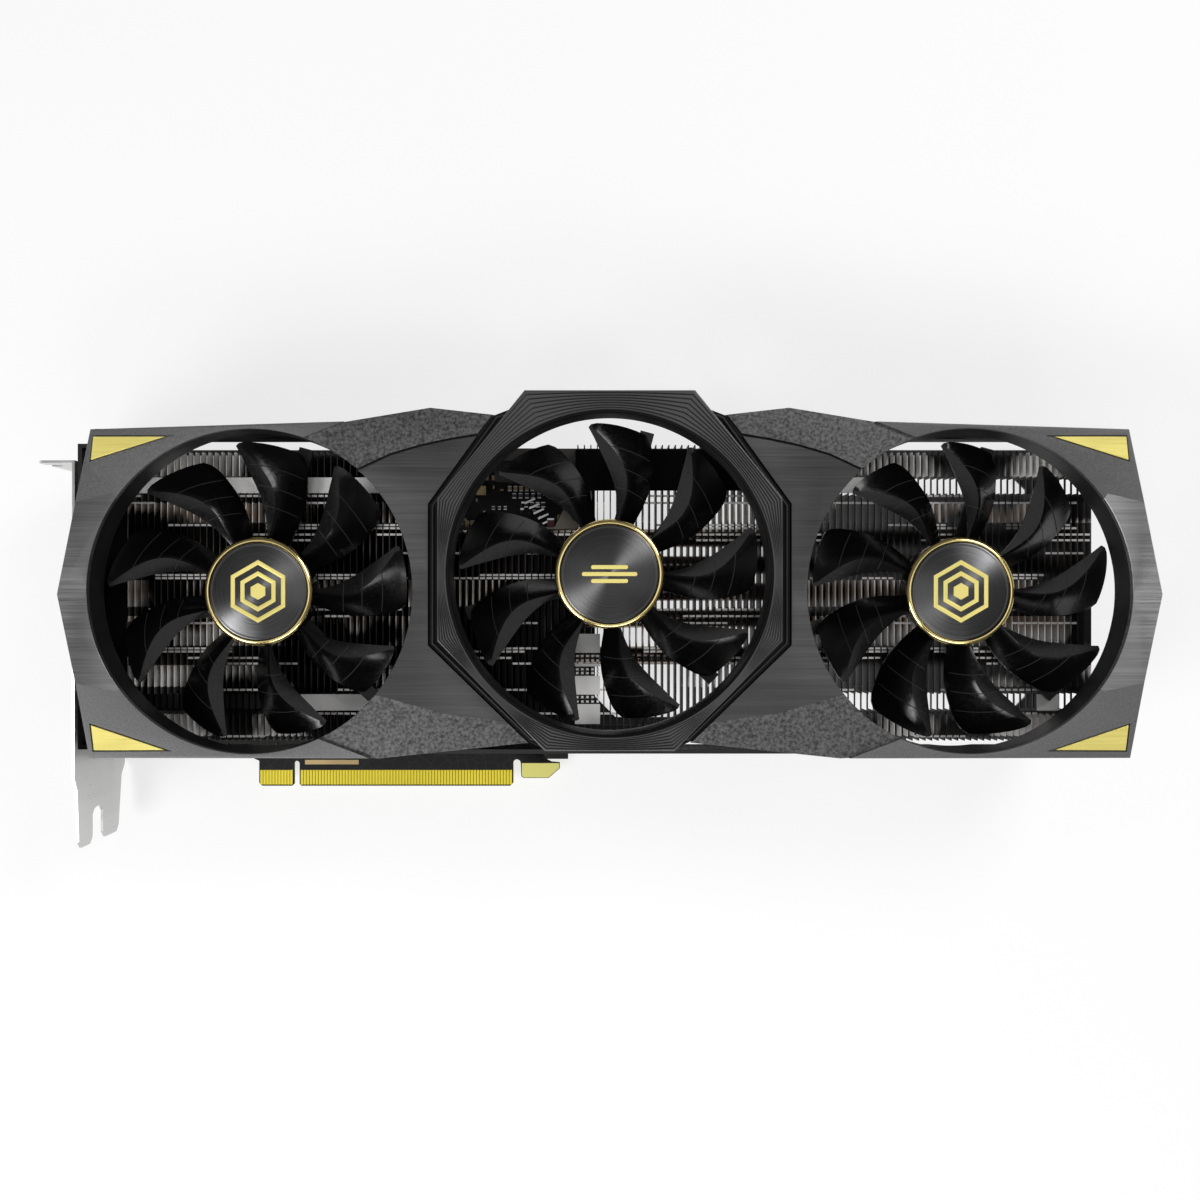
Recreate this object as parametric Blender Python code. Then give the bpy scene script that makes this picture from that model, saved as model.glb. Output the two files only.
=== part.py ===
"""Three-fan, two-slot graphics card, modelled as an assembly of separate pieces.

The card lies flat on its backplate: +Z points out of the fan side, +X runs
from the slot bracket to the free end, +Y points away from the edge connector.
Dimensions below are millimetres; every mesh is written in metres.
"""
import math

import bmesh
import bpy
from mathutils import Matrix, Vector

MM = 0.001

# ---------------------------------------------------------------- dimensions
SHROUD_X0 = 5.6                      # mirror line of the fan shroud
FAN_PITCH = 107.2                    # outer fan centre from the mirror line
FAN_Y = 10.35                        # outer fan centre height
MID_FAN_Y = 15.55                    # middle fan centre height
OPEN_R = 48.4                        # fan opening radius
MID_OPEN_R = 48.3
FAN_TIP_R = 45.7
HUB_R = 16.2
BLADES = 9
BIG_SIDES = 60                       # sides of the large round openings
MID_LIFT = 3.6                       # middle fan stands this much higher

COVER_Z0, COVER_Z1 = 48.0, 50.0      # grey front covers
BODY_Z1 = 47.7                       # black inner shroud
BEZEL_Z1 = 54.0                      # octagonal centre bezel face

PLATE_Z0, PLATE_Z1 = 0.0, 1.6        # backplate
PCB_Z0, PCB_Z1 = 4.0, 5.6
FIN_Z0, FIN_ROOT, FIN_Z1 = 16.7, 17.9, 28.0
FIN_PITCH, FIN_T = 2.06, 0.45
PIPE_D = 6.0
PIPE_Z = 13.4

# half outline of the front covers: (distance from the mirror line, Y)
TIP = (164.4, 9.6)
TOP_CORNER = (154.7, 58.6)
TOP_KINK = (79.1, 60.85)
TOP_PEAK = (53.5, 65.05)
BOTTOM_CORNER = (154.7, -39.3)
BOTTOM_KINK = (68.8, -39.6)
# half outline of the octagonal bezel
OCT = [(25.1, 69.4), (50.8, 37.7), (50.8, -4.35), (19.1, -36.7)]
# half outline of the thin flange under it, and the line the covers are cut to
FLANGE = [(24.6, 69.3), (29.5, 64.6), (34.3, 62.75), (53.7, 36.1), (53.7, -5.6), (24.2, -34.4),
          (19.6, -36.5)]
COVER_CUT = [(34.9, 62.9), (54.0, 36.3), (54.0, -5.7), (24.1, -34.8)]

# edge connector, PCI Express x16
CONN_L, CONN_KEY0, CONN_KEY1, CONN_R = -111.6, -99.95, -98.05, -26.4
CONN_BOTTOM = -54.6

# slot bracket, two slots high
BRACKET_X0, BRACKET_X1 = -159.4, -158.6
BRACKET_Z0, BRACKET_Z1 = 0.6, 38.6
BRACKET_END_X = -170.0
TANG_END = -69.4


# ------------------------------------------------------------------- helpers
def clear_scene():
    for obj in list(bpy.data.objects):
        bpy.data.objects.remove(obj, do_unlink=True)


def material(name, color, rough, metal=0.0):
    mat = bpy.data.materials.get(name)
    if mat:
        return mat
    mat = bpy.data.materials.new(name)
    mat.use_nodes = True
    bsdf = mat.node_tree.nodes["Principled BSDF"]
    bsdf.inputs["Base Color"].default_value = (*color, 1.0)
    bsdf.inputs["Roughness"].default_value = rough
    bsdf.inputs["Metallic"].default_value = metal
    return mat


def new_object(name, bm, mat, smooth=None):
    bmesh.ops.recalc_face_normals(bm, faces=bm.faces[:])
    for v in bm.verts:
        v.co *= MM
    me = bpy.data.meshes.new(name)
    bm.to_mesh(me)
    bm.free()
    obj = bpy.data.objects.new(name, me)
    bpy.context.scene.collection.objects.link(obj)
    if mat is not None:
        me.materials.append(mat)
    if smooth is not None:
        me.shade_smooth()
        me.set_sharp_from_angle(angle=math.radians(smooth))
    return obj


def add_prism(bm, pts, z0, z1, axis="Z"):
    """Extrude a closed 2-D outline between two levels of one axis."""
    def place(p, q, level):
        if axis == "Z":
            return (p, q, level)
        if axis == "X":
            return (level, p, q)
        return (p, level, q)
    lo = [bm.verts.new(place(p, q, z0)) for p, q in pts]
    hi = [bm.verts.new(place(p, q, z1)) for p, q in pts]
    n = len(pts)
    faces = [bm.faces.new(lo), bm.faces.new(hi)]
    for i in range(n):
        faces.append(bm.faces.new((lo[i], lo[(i + 1) % n], hi[(i + 1) % n], hi[i])))
    bmesh.ops.recalc_face_normals(bm, faces=faces)
    return faces


def prism(name, pts, z0, z1, mat, axis="Z", smooth=None):
    bm = bmesh.new()
    add_prism(bm, pts, z0, z1, axis)
    return new_object(name, bm, mat, smooth)


def rect(x0, x1, y0, y1):
    return [(x0, y0), (x1, y0), (x1, y1), (x0, y1)]


def circle(cx, cy, r, n, start=0.0):
    return [(cx + r * math.cos(start + 2 * math.pi * i / n),
             cy + r * math.sin(start + 2 * math.pi * i / n)) for i in range(n)]


def ring_solid(bm, cx, cy, r_in, r_out, z0, z1, n):
    """A flat-ended tube."""
    loops = []
    for r, z in ((r_in, z0), (r_out, z0), (r_out, z1), (r_in, z1)):
        loops.append([bm.verts.new((x, y, z)) for x, y in circle(cx, cy, r, n)])
    for k in range(4):
        a, b = loops[k], loops[(k + 1) % 4]
        for i in range(n):
            j = (i + 1) % n
            bm.faces.new((a[i], a[j], b[j], b[i]))


def cutter(name, bm):
    obj = new_object(name, bm, None)
    obj.hide_render = True
    obj.display_type = "WIRE"
    return obj


def boolean(obj, other, operation="DIFFERENCE"):
    mod = obj.modifiers.new(operation.lower(), "BOOLEAN")
    mod.object = other
    mod.operation = operation
    mod.solver = "EXACT"
    return mod


def chamfered(x0, x1, y0, y1, c):
    return [(x0 + c, y0), (x1 - c, y0), (x1, y0 + c), (x1, y1 - c),
            (x1 - c, y1), (x0 + c, y1), (x0, y1 - c), (x0, y0 + c)]


def mirror_x(pts, side):
    """Half-outline points to world X on one side of the mirror line."""
    return [(SHROUD_X0 + side * dx, y) for dx, y in pts]


def inset_polygon(pts, d):
    """Move every edge of a convex-ish, counter-clockwise outline inward by d."""
    out = []
    n = len(pts)
    for i in range(n):
        p0, p1, p2 = Vector(pts[i - 1]), Vector(pts[i]), Vector(pts[(i + 1) % n])
        e0, e1 = (p1 - p0).normalized(), (p2 - p1).normalized()
        n0, n1 = Vector((-e0.y, e0.x)), Vector((-e1.y, e1.x))
        m = (n0 + n1)
        m /= m.dot(n0)
        out.append(tuple(p1 + m * d))
    return out


# ------------------------------------------------------------------ materials
def materials():
    return {
        "backplate": material("backplate_black", (0.035, 0.035, 0.038), 0.45, 0.6),
        "pcb": material("pcb_black", (0.015, 0.016, 0.016), 0.5),
        "bracket": material("bracket_nickel", (0.78, 0.78, 0.78), 0.3, 1.0),
        "port": material("port_shell", (0.55, 0.55, 0.56), 0.3, 1.0),
        "socket": material("socket_black", (0.02, 0.02, 0.02), 0.5),
        "substrate": material("substrate_green", (0.05, 0.12, 0.06), 0.5),
        "die": material("silicon", (0.18, 0.2, 0.24), 0.15, 0.3),
        "chip": material("chip_black", (0.02, 0.02, 0.022), 0.55),
        "choke": material("choke_grey", (0.09, 0.09, 0.1), 0.6),
        "copper": material("nickel_copper", (0.35, 0.31, 0.28), 0.25, 1.0),
        "fin": material("fin_aluminium", (0.75, 0.74, 0.72), 0.3, 1.0),
        "body": material("shroud_black", (0.02, 0.02, 0.021), 0.45),
        "cover": material("cover_grey", (0.19, 0.19, 0.19), 0.45, 0.7),
        "bezel": material("bezel_charcoal", (0.09, 0.09, 0.095), 0.4, 0.5),
        "gold": material("brushed_gold", (0.78, 0.68, 0.3), 0.35, 0.8),
        "frame": material("fan_frame_black", (0.02, 0.02, 0.02), 0.5),
        "rotor": material("rotor_black", (0.008, 0.008, 0.008), 0.2),
        "cap": material("cap_spun_metal", (0.1, 0.1, 0.1), 0.3, 1.0),
        "ring": material("ring_gold", (0.85, 0.7, 0.35), 0.15, 1.0),
        "stator": material("stator_steel", (0.25, 0.2, 0.15), 0.5, 0.6),
        "shaft": material("shaft_steel", (0.6, 0.6, 0.6), 0.2, 1.0),
        "screw": material("screw_black", (0.05, 0.05, 0.05), 0.35, 0.8),
    }


# --------------------------------------------------------------- card, boards
def build_backplate(m):
    outline = [(-157.0, -37.2), (-155.0, -39.2), (149.0, -39.2), (154.0, -34.2),
               (154.0, 53.5), (149.0, 58.5), (-155.0, 58.5), (-157.0, 56.5)]
    obj = prism("backplate", outline, PLATE_Z0, PLATE_Z1, m["backplate"])
    # flow-through window behind the end fan, and a row of slanted vents
    bm = bmesh.new()
    add_prism(bm, [(8.0, -32.0), (140.0, -32.0), (147.0, -25.0), (147.0, 45.0),
                   (140.0, 52.0), (8.0, 52.0), (1.0, 45.0), (1.0, -25.0)], -1.0, 3.0)
    for i in range(7):
        x = -142.0 + 9.0 * i
        add_prism(bm, [(x, -20.0), (x + 3.2, -20.0), (x + 9.2, 6.0), (x + 6.0, 6.0)],
                  -1.0, 3.0)
    boolean(obj, cutter("cut_backplate_window", bm))
    # seats for the cooler screws
    bm = bmesh.new()
    for x, y in COOLER_SCREWS:
        add_prism(bm, circle(x, y, 3.4, 20), -1.0, 3.0)
    boolean(obj, cutter("cut_backplate_screws", bm))
    # a rolled stiffening lip along the upper edge, facing the board
    bm = bmesh.new()
    add_prism(bm, rect(-150.0, 148.0, 56.9, 58.0), 1.0, 3.4)
    lip = cutter("add_backplate_lip", bm)
    boolean(obj, lip, "UNION")
    return obj


COOLER_SCREWS = [(-62.0, -21.0), (-4.5, -21.0), (-62.0, 36.0), (-4.5, 36.0)]


def build_pcb(m):
    y0 = -45.6
    pts = [(-156.8, 56.4), (-156.8, -37.5), (-150.0, -44.5), (CONN_L - 2.5, -44.5),
           (CONN_L - 1.5, y0), (CONN_L, y0), (CONN_L, CONN_BOTTOM + 1.0),
           (CONN_L + 1.0, CONN_BOTTOM), (CONN_KEY0 - 0.6, CONN_BOTTOM),
           (CONN_KEY0, CONN_BOTTOM + 0.6), (CONN_KEY0, -46.6), (CONN_KEY1, -46.6),
           (CONN_KEY1, CONN_BOTTOM + 0.6), (CONN_KEY1 + 0.6, CONN_BOTTOM),
           (CONN_R - 1.0, CONN_BOTTOM), (CONN_R, CONN_BOTTOM + 1.0), (CONN_R, -46.8),
           (-25.1, -45.5), (-23.7, -46.8), (-23.7, -51.4), (-22.9, -52.0),
           (-14.5, -52.0), (-10.8, -48.8), (-10.8, -46.8), (-13.5, -46.6),
           (-15.5, -45.6), (-8.0, -45.6), (-8.0, 56.4)]
    obj = prism("pcb", pts, PCB_Z0, PCB_Z1, m["pcb"])
    bm = bmesh.new()
    for x, y in COOLER_SCREWS:
        add_prism(bm, circle(x, y, 2.2, 16), 3.0, 7.0)
    boolean(obj, cutter("cut_pcb_holes", bm))
    return obj


# (name, centre Y, half width, shell height)
PORTS = [("displayport_1", 36.0, 8.9, 6.6), ("displayport_2", 14.0, 8.9, 6.6),
         ("displayport_3", -8.0, 8.9, 6.6), ("hdmi_port", -30.0, 7.9, 6.4)]


def port_outline(y, half, z0, z1, g=0.0):
    """Socket outline with two chamfered lower corners, in the YZ plane."""
    c = 2.2
    return [(y - half - g + c, z0 - g), (y + half + g - c, z0 - g), (y + half + g, z0 - g + c),
            (y + half + g, z1 + g), (y - half - g, z1 + g), (y - half - g, z0 - g + c)]


def build_bracket(m):
    # plate outline in YZ: full width, then two tangs that fit the case slots
    top, low = 50.6, -47.5
    z0, z1 = BRACKET_Z0, BRACKET_Z1
    pts = [(top, z0), (top, z1), (low, z1), (-51.0, z1 - 1.8), (TANG_END + 2.0, z1 - 3.2),
           (TANG_END, z1 - 5.0), (TANG_END, z1 - 11.0), (TANG_END + 2.0, z1 - 12.8),
           (-60.5, z1 - 12.8), (-58.4, z1 - 15.5), (-58.4, z1 - 18.2), (-60.5, z1 - 20.6),
           (TANG_END + 2.0, z1 - 20.6), (TANG_END, z1 - 22.4), (TANG_END, z1 - 31.0),
           (TANG_END + 2.0, z1 - 32.8), (-51.0, z1 - 35.2), (low, z0)]
    obj = prism("io_bracket", pts, BRACKET_X0, BRACKET_X1, m["bracket"], axis="X")
    # flange bent away from the card, with two screw notches
    bm = bmesh.new()
    add_prism(bm, [(BRACKET_X1 - 0.1, z0), (BRACKET_X1 - 0.1, z1), (BRACKET_END_X, z1),
                   (BRACKET_END_X, z1 - 5.5), (BRACKET_END_X + 3.6, z1 - 5.5),
                   (BRACKET_END_X + 3.6, z1 - 9.5), (BRACKET_END_X, z1 - 9.5),
                   (BRACKET_END_X, z1 - 25.8), (BRACKET_END_X + 3.6, z1 - 25.8),
                   (BRACKET_END_X + 3.6, z1 - 29.8), (BRACKET_END_X, z1 - 29.8),
                   (BRACKET_END_X, z0)], top - 0.8, top, axis="Y")
    boolean(obj, cutter("add_bracket_flange", bm), "UNION")
    # socket cut-outs in the lower slot row, vent slots in the upper row
    bm = bmesh.new()
    for _, y, half, h in PORTS:
        add_prism(bm, port_outline(y, half, 6.2, 6.2 + h, 0.35),
                  BRACKET_X0 - 1, BRACKET_X1 + 1, axis="X")
    boolean(obj, cutter("cut_bracket_ports", bm))
    bm = bmesh.new()
    for i in range(9):
        y = -38.0 + i * 9.6
        add_prism(bm, [(y, 19.5), (y + 5.6, 19.5), (y + 5.6, 32.0), (y, 32.0)],
                  BRACKET_X0 - 1, BRACKET_X1 + 1, axis="X")
    boolean(obj, cutter("cut_bracket_vents", bm))
    return obj


def build_ports(m):
    for name, y, half, h in PORTS:
        z0 = 6.2
        obj = prism(name, port_outline(y, half, z0, z0 + h), -161.6, -146.0, m["port"], axis="X")
        # open shell with the contact tongue standing inside it
        bm = bmesh.new()
        add_prism(bm, port_outline(y, half - 0.5, z0 + 0.5, z0 + h - 0.5), -163.0, -149.0,
                  axis="X")
        boolean(obj, cutter("cut_" + name, bm))
        bm = bmesh.new()
        zc = z0 + h * 0.52
        add_prism(bm, rect(y - half + 2.6, y + half - 2.6, zc - 0.8, zc + 0.8), -156.0, -148.4,
                  axis="X")
        boolean(obj, cutter("add_tongue_" + name, bm), "UNION")


def build_components(m):
    prism("gpu_substrate", chamfered(-54.0, -13.0, -13.0, 28.0, 1.0), 5.9, 7.1, m["substrate"])
    prism("gpu_die", rect(-45.0, -22.0, -3.5, 18.5), 7.4, 8.1, m["die"])
    spots = [(-76.0, -10.0), (-76.0, 7.5), (-76.0, 25.0),
             (-33.5, -27.0), (-50.5, -27.0), (-50.5, 42.0)]
    for i, (x, y) in enumerate(spots):
        w, h = (6.0, 7.0) if i < 3 else (7.0, 6.0)
        prism("memory_chip_%d" % (i + 1), rect(x - w, x + w, y - h, y + h), 5.9, 7.0, m["chip"])
    for i in range(3):
        y = 44.0 - 13.0 * i
        bm = bmesh.new()
        add_prism(bm, chamfered(-132.0, -120.5, y - 5.2, y + 5.2, 1.2), 5.9, 10.4)
        new_object("power_choke_%d" % (i + 1), bm, m["choke"])
    # twelve-way power socket at the upper edge near the end of the board
    obj = prism("power_socket", chamfered(-32.0, -11.5, 46.5, 57.6, 0.6), 5.9, 13.1, m["socket"])
    bm = bmesh.new()
    for i in range(6):
        for j in range(2):
            x, z = -30.3 + 3.0 * i, 6.9 + 2.9 * j
            add_prism(bm, rect(x, x + 2.1, z, z + 2.1), 48.5, 59.0, axis="Y")
    boolean(obj, cutter("cut_power_socket", bm))


# ------------------------------------------------------------------- cooler
PIPE_Y = [-10.5, 1.6, 10.4, 19.2, 28.0]
# contact plate with an ear at each cooler screw
COLD_PLATE = [(-66.0, -25.0), (-58.0, -25.0), (-54.0, -17.0), (-12.5, -17.0), (-8.5, -25.0),
              (-1.0, -25.0), (-1.0, -17.5), (-6.0, -13.0), (-6.0, 28.0), (-1.0, 32.0), (-1.0, 40.0),
              (-8.5, 40.0), (-12.5, 32.0), (-54.0, 32.0), (-58.0, 40.0), (-66.0, 40.0),
              (-66.0, 32.0), (-60.5, 28.0), (-60.5, -13.0), (-66.0, -17.5)]


def build_cooler(m):
    obj = prism("cold_plate", COLD_PLATE, 8.4, 10.1, m["copper"])
    bm = bmesh.new()
    for x, y in COOLER_SCREWS:
        add_prism(bm, circle(x, y, 2.2, 16), 7.0, 12.0)
    boolean(obj, cutter("cut_cold_plate", bm))
    r = PIPE_D / 2
    for i, y in enumerate(PIPE_Y):
        x0, x1 = -146.0 + 3.0 * (i % 2), 154.0 - 4.0 * (i % 2)
        bm = bmesh.new()
        n = 14
        rings = []
        for x, rr in ((x0, r * 0.45), (x0 + 2.2, r), (x1 - 2.2, r), (x1, r * 0.45)):
            rings.append([bm.verts.new((x, y + rr * math.cos(a), PIPE_Z + rr * math.sin(a)))
                          for a in [2 * math.pi * (k + 0.5) / n for k in range(n)]])
        for a, b in zip(rings, rings[1:]):
            for k in range(n):
                j = (k + 1) % n
                bm.faces.new((a[k], a[j], b[j], b[k]))
        bm.faces.new(rings[0])
        bm.faces.new(rings[-1])
        new_object("heat_pipe_%d" % (i + 1), bm, m["copper"], smooth=40)

    def comb(x0, x1, y0, y1):
        """Fins standing on a common base, as one outline run along Y."""
        count = int((x1 - x0 - FIN_T) / FIN_PITCH)
        step = (x1 - x0 - FIN_T) / count
        pts = [(x1, FIN_Z0), (x0, FIN_Z0)]
        for i in range(count + 1):
            a = x0 + i * step
            if i:
                pts.append((a, FIN_ROOT))
            pts += [(a, FIN_Z1), (a + FIN_T, FIN_Z1)]
            if i < count:
                pts.append((a + FIN_T, FIN_ROOT))
        return pts

    for name, x0, x1, y0, y1 in (("fin_stack_left", -146.5, -57.5, -37.0, 55.0),
                                 ("fin_stack_middle", -48.0, 60.0, -37.0, 57.0),
                                 ("fin_stack_right", 64.5, 158.0, -37.0, 55.0)):
        obj = prism(name, comb(x0, x1, y0, y1), y0, y1, m["fin"], axis="Y")
        if name == "fin_stack_middle":
            # cleared over the regulators on the board
            bm = bmesh.new()
            add_prism(bm, rect(-50.0, -6.1, 30.0, 60.0), 10.0, 30.0)
            boolean(obj, cutter("cut_fin_stack_middle", bm))
        if name != "fin_stack_left":
            # past the board the base is only a tie bar at each end, so air goes through
            bm = bmesh.new()
            add_prism(bm, rect(max(x0, -5.2) - 1.0, x1 + 1.0, y0 + 4.0, y1 - 4.0), 15.0, 18.3)
            boolean(obj, cutter("cut_base_" + name, bm))


# -------------------------------------------------------------------- shroud
def cover_outline():
    left = mirror_x([TIP, TOP_CORNER, TOP_KINK, TOP_PEAK, (31.8, 63.1)], -1)
    right = mirror_x([(31.8, 63.1), TOP_PEAK, TOP_KINK, TOP_CORNER, TIP], 1)
    low_r = mirror_x([BOTTOM_CORNER, BOTTOM_KINK, (24.1, -34.8)], 1)
    low_l = mirror_x([(24.1, -34.8), BOTTOM_KINK, BOTTOM_CORNER], -1)
    pts = left + right + low_r + low_l
    return pts[::-1]                     # counter-clockwise


def octagon(grow=0.0):
    pts = mirror_x(OCT, 1) + mirror_x(OCT[::-1], -1)
    return inset_polygon(pts[::-1], -grow)


def corner_triangle(side, top):
    """Corner inlay outline: a long thin triangle with its short side outboard."""
    if top:
        tri = [(153.6, 56.3), (132.4, 56.3), (154.3, 49.4)]
    else:
        tri = [(154.3, -29.5), (132.4, -36.9), (153.4, -37.0)]
    pts = mirror_x(tri, side)
    area = sum(pts[i - 1][0] * pts[i][1] - pts[i][0] * pts[i - 1][1] for i in range(3))
    return pts if area > 0 else pts[::-1]


def build_covers(m):
    for side, name in ((-1, "front_cover_left"), (1, "front_cover_right")):
        full = cover_outline()
        obj = prism(name, full, COVER_Z0, COVER_Z1, m["cover"])
        cx = SHROUD_X0 + side * FAN_PITCH
        bm = bmesh.new()
        add_prism(bm, circle(cx, FAN_Y, OPEN_R, BIG_SIDES), 40.0, 60.0)
        boolean(obj, cutter("cut_opening_" + name, bm))
        # everything past the bezel belongs to the other cover
        bm = bmesh.new()
        far = SHROUD_X0 - side * 200.0
        edge = mirror_x(COVER_CUT[::-1], side)
        pts = [(far, edge[0][1] - 60.0), (edge[0][0], edge[0][1] - 60.0)] + edge + \
              [(edge[-1][0], edge[-1][1] + 60.0), (far, edge[-1][1] + 60.0)]
        add_prism(bm, pts, 40.0, 60.0)
        boolean(obj, cutter("cut_bezel_" + name, bm))
        bm = bmesh.new()
        for top in (True, False):
            add_prism(bm, inset_polygon(corner_triangle(side, top), -0.45), 49.0, 51.0)
        boolean(obj, cutter("cut_inlay_" + name, bm))
    k = 0
    for side in (-1, 1):
        for top in (True, False):
            k += 1
            prism("corner_inlay_%d" % k, corner_triangle(side, top), 49.2, 50.05, m["gold"])


def build_shroud_body(m):
    outline = inset_polygon(cover_outline(), 0.25)
    obj = prism("shroud_body", outline, 41.0, BODY_Z1, m["body"])
    # tray walls, stepped in at both corners of the bracket end
    x0, x1 = -155.7, 160.5
    bm = bmesh.new()
    add_prism(bm, [(x0, -37.6), (-150.5, -37.6), (-150.5, -38.9), (x1, -38.9), (x1, 59.6), (-150.5, 59.6),
                   (-150.5, 55.1), (x0, 55.1)], 22.0, 43.0)
    boolean(obj, cutter("add_shroud_box", bm), "UNION")
    # hollow inside of the tray, open underneath
    bm = bmesh.new()
    add_prism(bm, [(x0 + 1.3, -36.3), (-149.2, -36.3), (-149.2, -37.6), (x1 - 1.3, -37.6), (x1 - 1.3, 58.4),
                   (-149.2, 58.4), (-149.2, 53.9), (x0 + 1.3, 53.9)], 20.0, 45.6)
    boolean(obj, cutter("cut_shroud_hollow", bm))
    # outer duct rings, then the three openings
    for side, tag in ((-1, "left"), (1, "right")):
        bm = bmesh.new()
        add_prism(bm, circle(SHROUD_X0 + side * FAN_PITCH, FAN_Y, 49.6, BIG_SIDES), 37.5, 46.6)
        boolean(obj, cutter("add_duct_" + tag, bm), "UNION")
    for side, tag in ((-1, "left"), (1, "right")):
        bm = bmesh.new()
        add_prism(bm, circle(SHROUD_X0 + side * FAN_PITCH, FAN_Y, OPEN_R, BIG_SIDES), 30.0, 60.0)
        boolean(obj, cutter("cut_duct_" + tag, bm))
    bm = bmesh.new()
    add_prism(bm, circle(SHROUD_X0, MID_FAN_Y, 50.6, BIG_SIDES), 36.0, 60.0)
    boolean(obj, cutter("cut_duct_middle", bm))
    # upper wall is open behind the middle fan, lower wall stops short of the board
    bm = bmesh.new()
    add_prism(bm, rect(SHROUD_X0 - 38.0, SHROUD_X0 + 38.0, 55.0, 70.0), 18.0, 41.0)
    boolean(obj, cutter("cut_top_wall", bm))
    bm = bmesh.new()
    add_prism(bm, rect(-165.0, 165.0, -45.0, -36.0), 18.0, 30.0)
    boolean(obj, cutter("cut_low_wall", bm))
    # the free end is open below the ducts, so air leaves past the last fins
    bm = bmesh.new()
    add_prism(bm, rect(158.9, 165.0, -30.0, 50.0), 18.0, 37.4)
    boolean(obj, cutter("cut_end_wall", bm))
    # shelf over the display sockets, from the end wall to the first fin
    bm = bmesh.new()
    add_prism(bm, rect(-155.2, -147.5, -35.6, 54.5), 29.0, 30.4)
    boolean(obj, cutter("add_socket_shelf", bm), "UNION")
    # rail behind the middle fan, carried by the upper wall
    bm = bmesh.new()
    add_prism(bm, [(-5.0, 42.0), (53.2, 42.0), (53.2, 58.9), (45.2, 58.9), (45.2, 54.8), (-5.0, 54.8)],
              30.6, 32.0)
    boolean(obj, cutter("add_upper_rail", bm), "UNION")
    return obj


def build_bezel(m):
    """Raised octagonal frame round the middle fan, with a short duct below."""
    flange = mirror_x(FLANGE, 1) + mirror_x(FLANGE[::-1], -1)
    obj = prism("center_bezel", flange[::-1], COVER_Z0, 49.6, m["bezel"])
    bm = bmesh.new()
    add_prism(bm, octagon(0.0), 49.4, BEZEL_Z1)
    boolean(obj, cutter("add_bezel_face", bm), "UNION")
    bm = bmesh.new()
    add_prism(bm, circle(SHROUD_X0, MID_FAN_Y, 50.1, BIG_SIDES), 42.5, 49.0)
    boolean(obj, cutter("add_bezel_duct", bm), "UNION")
    bm = bmesh.new()
    add_prism(bm, circle(SHROUD_X0, MID_FAN_Y, MID_OPEN_R, BIG_SIDES), 40.0, 60.0)
    boolean(obj, cutter("cut_bezel_duct", bm))
    # stepped inner lip
    bm = bmesh.new()
    add_prism(bm, circle(SHROUD_X0, MID_FAN_Y, MID_OPEN_R + 1.3, BIG_SIDES), 52.6, 60.0)
    boolean(obj, cutter("cut_bezel_lip", bm))
    return obj


# ---------------------------------------------------------------------- fans
LE_TIP_ANGLE = 31.8                  # leading edge at the tip, clockwise from +Y
LE_SWEEP = 16.4                      # further turn of the leading edge at the root


def blade_point(r, u, side, lift):
    """A point of the blade skin.

    r is the radius, u runs from the leading edge (0) to the trailing edge (1),
    side is +1 for the intake face and -1 for the outlet face.
    Returns an angle in degrees clockwise from +Y, and a height.
    """
    t = (r - HUB_R) / (FAN_TIP_R - HUB_R)
    lead = LE_SWEEP * (1.0 - t)
    chord = 17.5 + 7.5 * math.sin(min(max(t, 0.0), 1.0) * math.pi * 0.5)
    chord += 1.6 * math.sin(math.pi * min(max(t, 0.0), 1.0))
    ang = lead + chord * u
    z_lead = 38.9 + 3.0 * math.sin(0.5 * math.pi * min(max(t, 0.0), 1.0))
    z_trail = 31.9 + 1.5 * t
    z = z_lead + (z_trail - z_lead) * (0.72 * u + 0.28 * u ** 2.4)
    half = 0.62 * (0.45 + 0.55 * math.sin(math.pi * min(max(0.12 + 0.8 * u, 0.0), 1.0)))
    return ang, z + side * half + lift


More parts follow.
